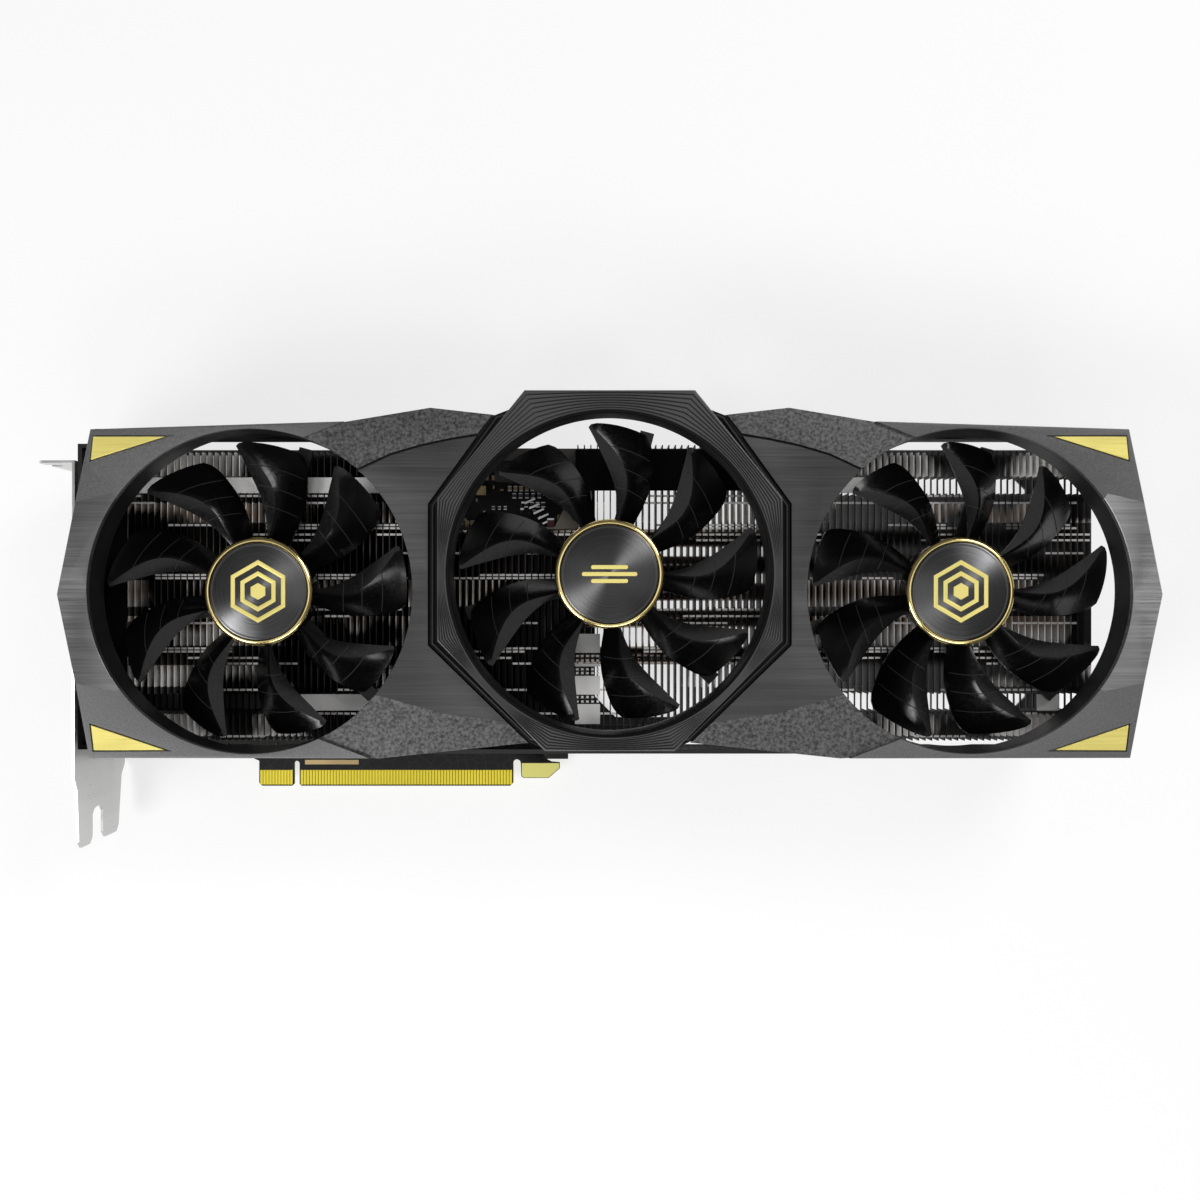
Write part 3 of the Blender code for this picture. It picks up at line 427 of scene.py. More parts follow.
# floor
fm = Mat("pale_floor")
fn = fm.noise(fm.mapping(), 3.0, 2.0, 0.5)
fm.to("Base Color", fm.ramp(fn, [(0.3, (0.31, 0.31, 0.31)), (0.7, (0.33, 0.33, 0.33))]))
fm.set(Roughness=0.7)
fm.bsdf.inputs["Specular IOR Level"].default_value = 0.1
fm.bsdf.inputs["Emission Color"].default_value = (1.0, 1.0, 1.0, 1.0)
fm.bsdf.inputs["Emission Strength"].default_value = 0.69
fbm = bmesh.new()
bmesh.ops.create_grid(fbm, x_segments=8, y_segments=8, size=20.0)
fme = bpy.data.meshes.new("floor")
fbm.to_mesh(fme)
fbm.free()
floor = bpy.data.objects.new("floor", fme)
floor.location = (0, 0, -0.0004)
fme.materials.append(fm.mat)
bpy.context.scene.collection.objects.link(floor)


# ------------------------------------------------------------ mesh helpers (mm in, m out)
def finish_mesh(name, bm, mats, smooth=30.0, body="card", replaces=(), scale=True):
    bmesh.ops.recalc_face_normals(bm, faces=bm.faces[:])
    if scale:
        bmesh.ops.scale(bm, vec=(MM, MM, MM), verts=bm.verts[:])
    me = bpy.data.meshes.new(name)
    bm.to_mesh(me)
    bm.free()
    obj = bpy.data.objects.new(name, me)
    bpy.context.scene.collection.objects.link(obj)
    for mt in (mats if isinstance(mats, (list, tuple)) else [mats]):
        me.materials.append(mt)
    if smooth is not None:
        me.shade_smooth()
        me.set_sharp_from_angle(angle=math.radians(smooth))
    if body:
        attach(obj, body)
    if replaces:
        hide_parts(*replaces)
    return obj


def loop_pts(bm, pts, z, axis="Z"):
    def place(p, q):
        if axis == "Z":
            return (p, q, z)
        if axis == "X":
            return (z, p, q)
        return (p, z, q)
    return [bm.verts.new(place(p, q)) for p, q in pts]


def add_prism(bm, pts, z0, z1, axis="Z", mat=0):
    lo, hi = loop_pts(bm, pts, z0, axis), loop_pts(bm, pts, z1, axis)
    n = len(pts)
    faces = [bm.faces.new(lo), bm.faces.new(hi)]
    faces += [bm.faces.new((lo[i], lo[(i + 1) % n], hi[(i + 1) % n], hi[i])) for i in range(n)]
    for f in faces:
        f.material_index = mat
    return faces


def add_box(bm, x0, x1, y0, y1, z0, z1, mat=0):
    return add_prism(bm, [(x0, y0), (x1, y0), (x1, y1), (x0, y1)], z0, z1, "Z", mat)


def circle(cx, cy, r, n, start=0.0):
    return [(cx + r * math.cos(start + 2 * math.pi * i / n),
             cy + r * math.sin(start + 2 * math.pi * i / n)) for i in range(n)]


def add_lathe(bm, cx, cy, profile, n, closed=True, mat=0):
    """Turn a profile of (radius, z) about a vertical axis; closed joins last to first."""
    rings = []
    for r, z in profile:
        if r <= 1e-9:
            rings.append([bm.verts.new((cx, cy, z))])
        else:
            rings.append([bm.verts.new((x, y, z)) for x, y in circle(cx, cy, r, n)])
    pairs = list(zip(rings, rings[1:]))
    if closed:
        pairs.append((rings[-1], rings[0]))
    for a, b in pairs:
        if len(a) == 1 and len(b) == 1:
            continue
        for i in range(n):
            j = (i + 1) % n
            if len(a) == 1:
                f = bm.faces.new((a[0], b[i], b[j]))
            elif len(b) == 1:
                f = bm.faces.new((a[i], a[j], b[0]))
            else:
                f = bm.faces.new((a[i], a[j], b[j], b[i]))
            f.material_index = mat


def bevel(obj, width=0.25, segments=2, angle=35.0):
    mod = obj.modifiers.new("edge", "BEVEL")
    mod.width = width * MM
    mod.segments = segments
    mod.limit_method = "ANGLE"
    mod.angle_limit = math.radians(angle)
    mod.miter_outer = "MITER_ARC"
    return mod


def temp_object(bm):
    bmesh.ops.recalc_face_normals(bm, faces=bm.faces[:])
    bmesh.ops.scale(bm, vec=(MM, MM, MM), verts=bm.verts[:])
    me = bpy.data.meshes.new("cutter")
    bm.to_mesh(me)
    bm.free()
    obj = bpy.data.objects.new("cutter", me)
    bpy.context.scene.collection.objects.link(obj)
    return obj


def solid_boolean(base_bm, steps):
    """Apply booleans to a mm bmesh and return the result as a metre bmesh."""
    base = temp_object(base_bm)
    extra = []
    for op, bm in steps:
        other = temp_object(bm)
        extra.append(other)
        mod = base.modifiers.new("b", "BOOLEAN")
        mod.object = other
        mod.operation = op
        mod.solver = "EXACT"
    dg = bpy.context.evaluated_depsgraph_get()
    me = bpy.data.meshes.new_from_object(base.evaluated_get(dg))
    out = bmesh.new()
    out.from_mesh(me)
    bpy.data.meshes.remove(me)
    for o in [base] + extra:
        bpy.data.objects.remove(o, do_unlink=True)
    bmesh.ops.remove_doubles(out, verts=out.verts[:], dist=1e-7)
    bmesh.ops.dissolve_degenerate(out, edges=out.edges[:], dist=1e-7)
    return out


def prism_bm(pts, z0, z1, axis="Z"):
    bm = bmesh.new()
    add_prism(bm, pts, z0, z1, axis)
    return bm


def rect(x0, x1, y0, y1):
    return [(x0, y0), (x1, y0), (x1, y1), (x0, y1)]


def rounded(x0, x1, y0, y1, r, n=5):
    pts = []
    for cx, cy, a0 in ((x1 - r, y0 + r, -90), (x1 - r, y1 - r, 0), (x0 + r, y1 - r, 90), (x0 + r, y0 + r, 180)):
        for i in range(n + 1):
            a = math.radians(a0 + 90.0 * i / n)
            pts.append((cx + r * math.cos(a), cy + r * math.sin(a)))
    return pts


def area(pts):
    return 0.5 * sum(pts[i - 1][0] * pts[i][1] - pts[i][0] * pts[i - 1][1] for i in range(len(pts)))


def ccw(pts):
    return pts if area(pts) > 0 else pts[::-1]


def inset(pts, d):
    """Move each edge of a counter-clockwise outline inward by d (a number or one per edge)."""
    out = []
    n = len(pts)
    ds = d if isinstance(d, (list, tuple)) else [d] * n
    for i in range(n):
        p0, p1, p2 = Vector(pts[i - 1]), Vector(pts[i]), Vector(pts[(i + 1) % n])
        e0, e1 = (p1 - p0).normalized(), (p2 - p1).normalized()
        n0, n1 = Vector((-e0.y, e0.x)), Vector((-e1.y, e1.x))
        d0, d1 = ds[i - 1], ds[i]
        den = e0.x * e1.y - e0.y * e1.x
        if abs(den) < 1e-6:
            out.append(tuple(p1 + n0 * d0))
            continue
        a, b = p0 + n0 * d0, p1 + n1 * d1
        t = ((b.x - a.x) * e1.y - (b.y - a.y) * e1.x) / den
        out.append(tuple(a + e0 * t))
    return out


def side_pts(pts, side):
    return [(X0 + side * dx, y) for dx, y in pts]


# ------------------------------------------------------------ front covers
TIP = (164.4, 9.6)
TOP_CORNER = (154.7, 58.6)
TOP_KINK = (79.1, 60.85)
TOP_PEAK = (53.5, 65.05)
TOP_JOINT = (34.9, 62.9)
LOW_CORNER = (154.7, -39.3)
LOW_KINK = (68.8, -39.6)
LOW_JOINT = (24.1, -34.8)
CUT = [TOP_JOINT, (54.0, 36.3), (54.0, -5.7), LOW_JOINT]
GROOVE = [(74.1, 47.6), (65.5, 51.0), (56.4, 53.7), (47.5, 55.6), (39.3, 56.9)]
CREASE = [(68.9, -21.1), (56.4, -24.1), (50.5, -25.9), (30.5, -28.6)]
CREASE2 = [(86.4, -34.5), (71.3, -39.45)]
KINK_LINE = [(91.2, 56.3), TOP_KINK]
CTR = (107.2, 10.35)


def arc(p, q, through_angle, n=None):
    """Points on the opening's circle from p to q, going round by way of an angle (degrees)."""
    a0 = math.atan2(p[1] - CTR[1], p[0] - CTR[0])
    a1 = math.atan2(q[1] - CTR[1], q[0] - CTR[0])
    am = math.radians(through_angle)
    best = None
    for k0 in (-1, 0, 1):
        for k1 in (-1, 0, 1):
            b0, b1 = a0 + 2 * math.pi * k0, a1 + 2 * math.pi * k1
            if min(b0, b1) <= am <= max(b0, b1) and abs(b1 - b0) < 2 * math.pi:
                if best is None or abs(b1 - b0) < abs(best[1] - best[0]):
                    best = (b0, b1)
    b0, b1 = best
    n = n or max(3, int(abs(b1 - b0) / math.radians(2.0)))
    return [(CTR[0] + OPEN_R * math.cos(b0 + (b1 - b0) * i / n),
             CTR[1] + OPEN_R * math.sin(b0 + (b1 - b0) * i / n)) for i in range(n + 1)]


def on_circle(p):
    a = math.atan2(p[1] - CTR[1], p[0] - CTR[0])
    return (CTR[0] + OPEN_R * math.cos(a), CTR[1] + OPEN_R * math.sin(a))


def cover_regions():
    """Outlines in (distance from the mirror line, Y): name -> (points, finish)."""
    g0, c0 = on_circle(GROOVE[0]), on_circle(CREASE[0])
    k0, s0 = on_circle(KINK_LINE[0]), on_circle(CREASE2[0])
    t_hi = on_circle((147.7, 38.3))
    t_lo = on_circle((146.2, -19.05))
    tip_hi, tip_lo = (159.0, 36.8), (158.9, -17.0)
    w = 0.32                                    # half width of the dark groove
    groove_hi = [(x, y + w) for x, y in [g0] + GROOVE[1:]]
    groove_lo = [(x, y - w) for x, y in [g0] + GROOVE[1:]]
    reg = {}
    reg["upper"] = ([TOP_KINK, TOP_PEAK, TOP_JOINT] + groove_hi[::-1]
                    + arc(groove_hi[0], k0, 120)[1:], "blast")
    reg["band"] = (groove_lo + CUT[1:3] + CREASE[::-1][:-1] + arc(c0, groove_lo[0], 180)[:-1], "band")
    reg["lower"] = (CREASE[1:] + [LOW_JOINT, LOW_KINK, CREASE2[1]] + arc(s0, c0, 225), "blast")
    reg["end_top"] = ([TOP_KINK, TOP_CORNER, tip_hi, (148.0, 39.4)]
                      + arc(t_hi, k0, 80), "end")
    reg["end_low"] = ([LOW_CORNER, CREASE2[1]] + arc(s0, t_lo, 270) + [(147.0, -19.6), tip_lo], "end")
    reg["tip"] = ([tip_hi, TIP, tip_lo, (147.0, -19.6)] + arc(t_lo, t_hi, 0) + [(148.0, 39.4)], "tip")
    return reg


def plane_through(a, b, c):
    """z as a function of x, y on the plane through three points."""
    a, b, c = Vector(a), Vector(b), Vector(c)
    nrm = (b - a).cross(c - a)
    return lambda x, y: a.z - (nrm.x * (x - a.x) + nrm.y * (y - a.y)) / nrm.z


def inlay_triangle(top, grow=0.0):
    tri = [(153.6, 56.3), (132.4, 56.3), (154.3, 49.4)] if top else [(154.3, -29.5), (132.4, -36.9), (153.4, -37.0)]
    return inset(ccw(tri), -grow)


def build_covers():
    z = Z_COVER
    slopes = {
        "upper": plane_through((74.1, 47.6, z), (39.3, 56.9, z), (60.0, 65.0, z - 0.9)),
        "lower": plane_through((68.9, -21.1, z), (30.5, -28.6, z), (60.0, -39.0, z - 0.9)),
        "end_top": plane_through((79.1, 60.85, z), (148.0, 39.4, z), (154.7, 58.6, z - 0.55)),
    }
    for side, tag in ((-1, "left"), (1, "right")):
        made = []
        for name, (pts, finish) in cover_regions().items():
            zf = slopes.get(name, lambda x, y: z)
            loc = ccw(pts)
            small = inset(loc, 0.012)
            world_pts = ccw([(X0 + side * x, y) for x, y in small])
            bm = bmesh.new()
            n = len(world_pts)
            lo = [bm.verts.new((x, y, 48.05)) for x, y in world_pts]
            hi = [bm.verts.new((x, y, zf((x - X0) * side, y))) for x, y in world_pts]
            bm.faces.new(lo[::-1])
            top = bm.faces.new(hi)
            for i in range(n):
                bm.faces.new((lo[i], lo[(i + 1) % n], hi[(i + 1) % n], hi[i]))
            bmesh.ops.recalc_face_normals(bm, faces=bm.faces[:])
            # soften the rim, more at the real outer edges than at the folds
            edges = [e for e in top.edges]
            wide, thin = [], []
            for e in edges:
                m = (e.verts[0].co + e.verts[1].co) / 2
                dx, y = abs(m.x - X0), m.y
                r = math.hypot(dx - CTR[0], y - CTR[1])
                outer = r < OPEN_R + 0.15 or on_outline(dx, y)
                (wide if outer else thin).append(e)
            if name in ("upper", "band"):
                for e in list(thin):
                    m = (e.verts[0].co + e.verts[1].co) / 2
                    if near_line(abs(m.x - X0), m.y, GROOVE, 0.8):
                        thin.remove(e)
                        wide.append(e)
            if wide:
                bmesh.ops.bevel(bm, geom=wide, offset=0.28, segments=3, profile=0.6, affect="EDGES",
                                clamp_overlap=True)
            # painted shade and painted light: the right cover's end and tip take the darker and lighter painted copies
            mats = [M[{("right", "tip"): "tip_painted_lighter", ("right", "end_top"): "end_painted_darker"}.get((tag, name), finish)]]
            if name in ("end_top", "end_low"):
                cut = ccw([(X0 + side * x, y) for x, y in inlay_triangle(name == "end_top", 0.42)])
                bm = solid_boolean(bm, [("DIFFERENCE", prism_bm(cut, 49.0, 52.0))])
                obj = finish_mesh("cover_%s_%s" % (tag, name), bm, mats, 32, "card",
                                  ("front_cover_" + tag,), scale=False)
            else:
                obj = finish_mesh("cover_%s_%s" % (tag, name), bm, mats, 32, "card",
                                  ("front_cover_" + tag,))
            made.append(obj)


OUTLINE = [TOP_JOINT, TOP_PEAK, TOP_KINK, TOP_CORNER, TIP, LOW_CORNER, LOW_KINK, LOW_JOINT]


def near_line(x, y, line, tol):
    p = Vector((x, y))
    for a, b in zip(line, line[1:]):
        a, b = Vector(a), Vector(b)
        t = max(0.0, min(1.0, (p - a).dot(b - a) / max(1e-9, (b - a).length_squared)))
        if (p - (a + (b - a) * t)).length < tol:
            return True
    return False


def on_outline(x, y):
    return near_line(x, y, OUTLINE, 0.12) or near_line(x, y, CUT, 0.12)


build_covers()

# corner inlays
k = 0
for side in (-1, 1):
    for top in (True, False):
        k += 1
        pts = ccw([(X0 + side * x, y) for x, y in inlay_triangle(top, 0.0)])
        obj = finish_mesh("inlay_%d" % k, prism_bm(pts, 49.15, 50.03), M["inlay"], 30, "card",
                          ("corner_inlay_%d" % k,))
        bevel(obj, 0.12, 2)

# ------------------------------------------------------------ octagonal bezel
FACE_OCT = [(25.1, 69.4), (50.8, 37.7), (50.8, -4.35), (19.1, -36.7)]
BASE_OCT = [(24.6, 69.3), (29.5, 64.6), (34.3, 62.75), (53.75, 36.1), (53.75, -5.6), (24.2, -34.4), (19.6, -36.5)]
face_oct = ccw(side_pts(FACE_OCT, 1) + side_pts(FACE_OCT[::-1], -1))
base_oct = ccw(side_pts(BASE_OCT, 1) + side_pts(BASE_OCT[::-1], -1))


def ray_to_polygon(cx, cy, ang, pts):
    d = Vector((math.cos(ang), math.sin(ang)))
    best = None
    for i in range(len(pts)):
        a, b = Vector(pts[i - 1]) - Vector((cx, cy)), Vector(pts[i]) - Vector((cx, cy))
        e = b - a
        den = d.x * e.y - d.y * e.x
        if abs(den) < 1e-9:
            continue
        t = (a.x * e.y - a.y * e.x) / den
        s = (a.x * d.y - a.y * d.x) / den
        if t > 0 and -1e-6 <= s <= 1 + 1e-6 and (best is None or t < best):
            best = t
    return best


def build_bezel():
    cx, cy = X0, MID_Y
    angs = sorted([2 * math.pi * i / 240 for i in range(240)]
                  + [math.atan2(y - cy, x - cx) % (2 * math.pi) for x, y in face_oct])
    angs = [a for i, a in enumerate(angs) if i == 0 or a - angs[i - 1] > 1e-4]
    n = len(angs)
    r_in = MID_R + 0.25
    outer = [ray_to_polygon(cx, cy, a, face_oct) for a in angs]
    # contour terraces stepping down from the octagon edge to the round rim
    steps = 7
    drop = 0.14
    prof = [(1.0, -0.55, 0), (1.0, -0.30, 0)]     # (fraction, height below the face, unused)
    bm = bmesh.new()
    rings = []

    def ring(frac, z, shift=0.0):
        rings.append([bm.verts.new((cx + (r_in + (R - r_in) * frac + shift) * math.cos(a),
                                    cy + (r_in + (R - r_in) * frac + shift) * math.sin(a), z))
                      for a, R in zip(angs, outer)])
    z = Z_BEZEL
    ring(1.0, 49.6)
    ring(1.0, z - 0.35)
    ring(1.0, z - 0.1, -0.1)
    ring(1.0, z, -0.32)
    for kk in range(steps):
        f = 1.0 - (kk + 1) / (steps + 0.55)
        ring(f, z, 0.26)
        ring(f, z - 0.10, 0.17)
        ring(f, z - 0.62, 0.13)
        z -= drop
        ring(f, z - 0.44, -0.13)
        ring(f, z - 0.08, -0.17)
        ring(f, z, -0.26)
    ring(0.0, z, 0.25)
    ring(0.0, z - 0.25, 0.0)
    ring(0.0, 49.6, 0.0)
    for a, b in zip(rings, rings[1:] + rings[:1]):
        for i in range(n):
            j = (i + 1) % n
            bm.faces.new((a[i], a[j], b[j], b[i]))
    finish_mesh("bezel_face", bm, M["bezel"], 28, "card", ("center_bezel",))
    # black base flange that shows as the border, with a raised bead round it
    bm = bmesh.new()
    add_prism(bm, base_oct, 48.0, 49.55)
    base = solid_boolean(bm, [("DIFFERENCE", prism_bm(circle(cx, cy, 50.3, 160), 40, 60))])
    obj = finish_mesh("bezel_base", base, M["bezel_base"], 30, "card", ("center_bezel",),
                      scale=False)
    bevel(obj, 0.25, 2)
    bead_o, bead_i = inset(base_oct, 0.75), inset(base_oct, 1.45)
    bm = bmesh.new()
    add_prism(bm, bead_o, 49.5, 50.3)
    bead = solid_boolean(bm, [("DIFFERENCE", prism_bm(bead_i, 49.0, 51.0)),
                              ("DIFFERENCE", prism_bm(rect(-40, 60, 62.9, 80), 49.0, 51.0)),
                              ("DIFFERENCE", prism_bm(rect(-40, 60, -60, -34.0), 49.0, 51.0))])
    obj = finish_mesh("bezel_bead", bead, M["body"], 30, "card", ("center_bezel",), scale=False)
    bevel(obj, 0.2, 2)
    # duct: round throat that narrows a little towards the blades
    bm = bmesh.new()
    r0 = r_in
    add_lathe(bm, cx, cy, [(r0 - 0.05, 52.0), (r0 - 0.1, 51.0), (r0 - 0.5, 49.4), (r0 - 1.15, 46.0),
                           (r0 - 1.35, 43.2), (r0 - 1.2, 42.7), (r0 - 0.7, 42.6), (r0 + 1.2, 42.8),
                           (r0 + 1.5, 43.4), (r0 + 1.5, 48.6), (r0 + 0.7, 49.3), (r0 + 0.4, 52.0)], 200)
    finish_mesh("bezel_duct", bm, M["body"], 30, "card", ("center_bezel",))
    # thin step ring just inside the face
    bm = bmesh.new()
    add_lathe(bm, cx, cy, [(r0 - 0.05, 51.4), (r0 - 0.75, 51.2), (r0 - 0.85, 50.6), (r0 - 0.2, 50.2)], 200)
    finish_mesh("bezel_step", bm, M["bezel_base"], 30, "card", ("center_bezel",))


build_bezel()


# ------------------------------------------------------------ black inner shroud
def cover_outline():
    o = [(24.1, -34.8), LOW_KINK, LOW_CORNER, TIP, TOP_CORNER, TOP_KINK, TOP_PEAK, (31.8, 63.1)]
    return ccw(side_pts(o, 1) + side_pts(o[::-1], -1))


def build_body():
    out = inset(cover_outline(), 0.3)
    bx0, bx1 = -155.7, 160.5
    wall = [(bx0, -37.6), (-150.5, -37.6), (-150.5, -38.9), (bx1, -38.9), (bx1, 59.6), (-150.5, 59.6),
            (-150.5, 55.1), (bx0, 55.1)]
    hollow = [(bx0 + 1.3, -36.3), (-149.2, -36.3), (-149.2, -37.6), (bx1 - 1.3, -37.6), (bx1 - 1.3, 58.4),
              (-149.2, 58.4), (-149.2, 53.9), (bx0 + 1.3, 53.9)]
    seg = 144
    fans = [(X0 - PITCH, FAN_Y), (X0 + PITCH, FAN_Y)]
    steps = [("UNION", prism_bm(wall, 22.0, 43.0)), ("DIFFERENCE", prism_bm(hollow, 20.0, 45.6))]
    for c in fans:
        steps.append(("UNION", prism_bm(circle(*c, 49.6, seg), 37.5, 46.6)))
    for c in fans:
        steps.append(("DIFFERENCE", prism_bm(circle(*c, OPEN_R, seg), 30.0, 60.0)))
    steps.append(("DIFFERENCE", prism_bm(circle(X0, MID_Y, 50.6, seg), 36.0, 60.0)))
    steps.append(("DIFFERENCE", prism_bm(rect(X0 - 38.0, X0 + 38.0, 55.0, 70.0), 18.0, 41.0)))
    steps.append(("DIFFERENCE", prism_bm(rect(-165, 165, -45, -36), 18.0, 30.0)))
    steps.append(("DIFFERENCE", prism_bm(rect(158.9, 165.0, -30.0, 50.0), 18.0, 37.4)))
    # painted shade: a shelf over the left stack's first fin, given the painted-shade material below
    steps.append(("UNION", prism_bm(rect(-155.2, -146.2, -35.6, 54.5), 29.0, 30.4)))
    # painted shade: a black sheet over the middle stack's fin tops, where only shade falls
    steps.append(("UNION", prism_bm([(-5.0, 42.0), (53.2, 42.0), (53.2, 58.9), (45.2, 58.9), (45.2, 54.8),
                                     (-5.0, 54.8)], 30.6, 32.0)))
    bm = solid_boolean(prism_bm(out, 41.0, 47.75), steps)
    for f in bm.faces:
        # painted shade: the shelf, the sheet and the left end's inner walls get the near-black painted-shade material
        shade_lining = all(0.0289 < v.co.z < 0.0322 for v in f.verts)
        if shade_lining or all(v.co.x < -0.147 and v.co.z < 0.0436 for v in f.verts):
            f.material_index = 1
    obj = finish_mesh("shroud_inner", bm, [M["body"], M["coat"]], 28, "card", ("shroud_body",),
                      scale=False)
    bevel(obj, 0.3, 2, 50)


build_body()


# ------------------------------------------------------------ fans
LE_TIP_ANGLE, LE_SWEEP = 31.8, 16.4


def blade_point(r, u, side, lift):
    t = min(max((r - HUB_R) / (TIP_R - HUB_R), 0.0), 1.0)
    lead = LE_SWEEP * (1.0 - (r - HUB_R) / (TIP_R - HUB_R)) + 0.9 * math.sin(2 * math.pi * t)
    chord = 17.5 + 7.5 * math.sin(t * math.pi * 0.5) + 1.6 * math.sin(math.pi * t)
    ang = lead + chord * u
    z_lead = 38.9 + 3.0 * math.sin(0.5 * math.pi * t)
    z_trail = 31.9 + 1.5 * t
    knee = 0.05 + 0.33 * max(0.0, math.sin(math.pi * min(1.0, 0.06 + 0.98 * t))) ** 1.2
    drop = 0.03 * u if u < knee else 0.03 * u + 0.97 * ((u - knee) / (1.0 - knee)) ** 1.18
    z = z_lead + (z_trail - z_lead) * drop
    half = 0.62 * math.sin(math.pi * min(max(0.06 + 0.80 * u, 0.0), 1.0)) ** 0.55
    half = max(half, 0.10)
    return ang, z + side * half + lift


def build_rotor(tag, cx, cy, lift):
    bm = bmesh.new()
    nr, nu = 26, 18

    def stations(t):
        """Chord stations of one section: a row always falls on the knee of the flattened nose."""
        knee = 0.05 + 0.33 * max(0.0, math.sin(math.pi * min(1.0, 0.06 + 0.98 * t))) ** 1.2
        front = [knee * math.sin(0.5 * math.pi * k / 6) for k in range(7)]
        rear = [knee + (1.0 - knee) * (k / (nu - 6)) for k in range(1, nu - 5)]
        return front + rear
    radii = [HUB_R - 1.0 + (TIP_R - HUB_R + 1.0) * i / nr for i in range(nr + 1)]

    def xyz(base, r, ang, z):
        a = math.radians(90.0 - (base + ang))
        return (cx + r * math.cos(a), cy + r * math.sin(a), z)

    for b in range(9):
        base = LE_TIP_ANGLE + 40.0 * b
        skin = {}
        for s in (1, -1):
            for i, r in enumerate(radii):
                for kk, u in enumerate(stations(min(max((r - HUB_R) / (TIP_R - HUB_R), 0.0), 1.0))):
                    ang, z = blade_point(r, u, s, lift)
                    f = i / nr
                    rr = r - 1.7 * u ** 1.5 * f ** 4
                    # small radii on both tip corners
                    if f > 0.86:
                        q = (f - 0.86) / 0.14
                        e = max(0.0, 1 - u / 0.10) ** 2 + max(0.0, (u - 0.90) / 0.10) ** 2
                        rr -= 1.1 * e * q
                    skin[s, i, kk] = bm.verts.new(xyz(base, rr, ang, z))
        for i in range(nr):
            for kk in range(nu):
                bm.faces.new((skin[1, i, kk], skin[1, i + 1, kk], skin[1, i + 1, kk + 1], skin[1, i, kk + 1]))
                bm.faces.new((skin[-1, i, kk], skin[-1, i, kk + 1], skin[-1, i + 1, kk + 1], skin[-1, i + 1, kk]))
            for kk in (0, nu):
                bm.faces.new((skin[1, i, kk], skin[1, i + 1, kk], skin[-1, i + 1, kk], skin[-1, i, kk]))
        for kk in range(nu):
            for i in (0, nr):
                bm.faces.new((skin[1, i, kk], skin[1, i, kk + 1], skin[-1, i, kk + 1], skin[-1, i, kk]))
        # three raised ribs that follow the turning direction
        for r0, r1 in ((38.8, 36.9), (32.4, 30.9), (26.3, 25.2)):
            m = 16
            rows = []
            for q in range(m + 1):
                u = 0.02 + 0.93 * q / m
                r = r0 + (r1 - r0) * q / m
                row = []
                for off, h in ((-0.22, -0.15), (-0.13, 0.03), (0.0, 0.06), (0.13, 0.03), (0.22, -0.15)):
                    ang, z = blade_point(r + off, u, 1, lift)
                    taper = 1.0 if 0 < q < m else 0.0
                    row.append(bm.verts.new(xyz(base, r + off, ang, z + (h if taper else -0.15))))
                rows.append(row)
            for p, q in zip(rows, rows[1:]):
                for c in range(4):
                    bm.faces.new((p[c], p[c + 1], q[c + 1], q[c])).material_index = 1
                bm.faces.new((p[4], p[0], q[0], q[4]))
            bm.faces.new(rows[0])
            bm.faces.new(rows[-1])
    finish_mesh("blades_" + tag, bm, [M["blade"], M["rib"]], 17, "fan_" + tag, ("fan_rotor_" + tag,))
    # hub: cup with rounded shoulder, open underneath
    bm = bmesh.new()
    z1 = 39.9 + lift
    z0 = 32.2 + lift
    add_lathe(bm, cx, cy, [(0.0, z1), (15.2, z1), (15.7, z1 - 0.12), (16.05, z1 - 0.45), (HUB_R, z1 - 0.9),
                           (HUB_R, z0 + 0.3), (HUB_R - 0.3, z0), (14.7, z0), (14.4, z0 + 0.3), (14.4, 38.3 + lift),
                           (0.0, 38.3 + lift)], 96, closed=False)
    finish_mesh("hub_" + tag, bm, M["blade"], 35, "fan_" + tag, ("fan_rotor_" + tag,))
    # cap: spun disc with a shallow turned recess near its edge
    bm = bmesh.new()
    z = 40.9 + lift
    add_lathe(bm, cx, cy, [(0.0, z), (13.9, z), (14.05, z - 0.06), (14.2, z - 0.02), (14.75, z - 0.05),
                           (14.92, z - 0.2), (14.92, 40.2 + lift), (0.0, 40.2 + lift)], 128, closed=False)
    finish_mesh("cap_" + tag, bm, M["spun_" + tag], 50, "fan_" + tag, ("hub_cap_" + tag,))
    # polished ring: inner bead, chamfer, outer roll
    bm = bmesh.new()
    z = 41.2 + lift
    add_lathe(bm, cx, cy, [(15.08, 40.2 + lift), (15.08, z - 0.25), (15.2, z - 0.05), (15.45, z), (15.75, z - 0.03),
                           (16.35, z - 0.5), (16.55, z - 0.75), (16.6, 40.2 + lift)], 128)
    finish_mesh("ring_" + tag, bm, M["ring"], 35, "fan_" + tag, ("hub_ring_" + tag,))
    bm = bmesh.new()
    add_lathe(bm, cx, cy, [(0.0, 31.0 + lift), (1.3, 31.0 + lift), (1.5, 31.2 + lift), (1.5, 38.0 + lift),
                           (0.0, 38.0 + lift)], 32, closed=False)
    finish_mesh("shaft_" + tag, bm, M["shaft"], 35, "fan_" + tag, ("fan_shaft_" + tag,))


def ring_outline(pts_fn, n):
    return [pts_fn(2 * math.pi * i / n) for i in range(n)]


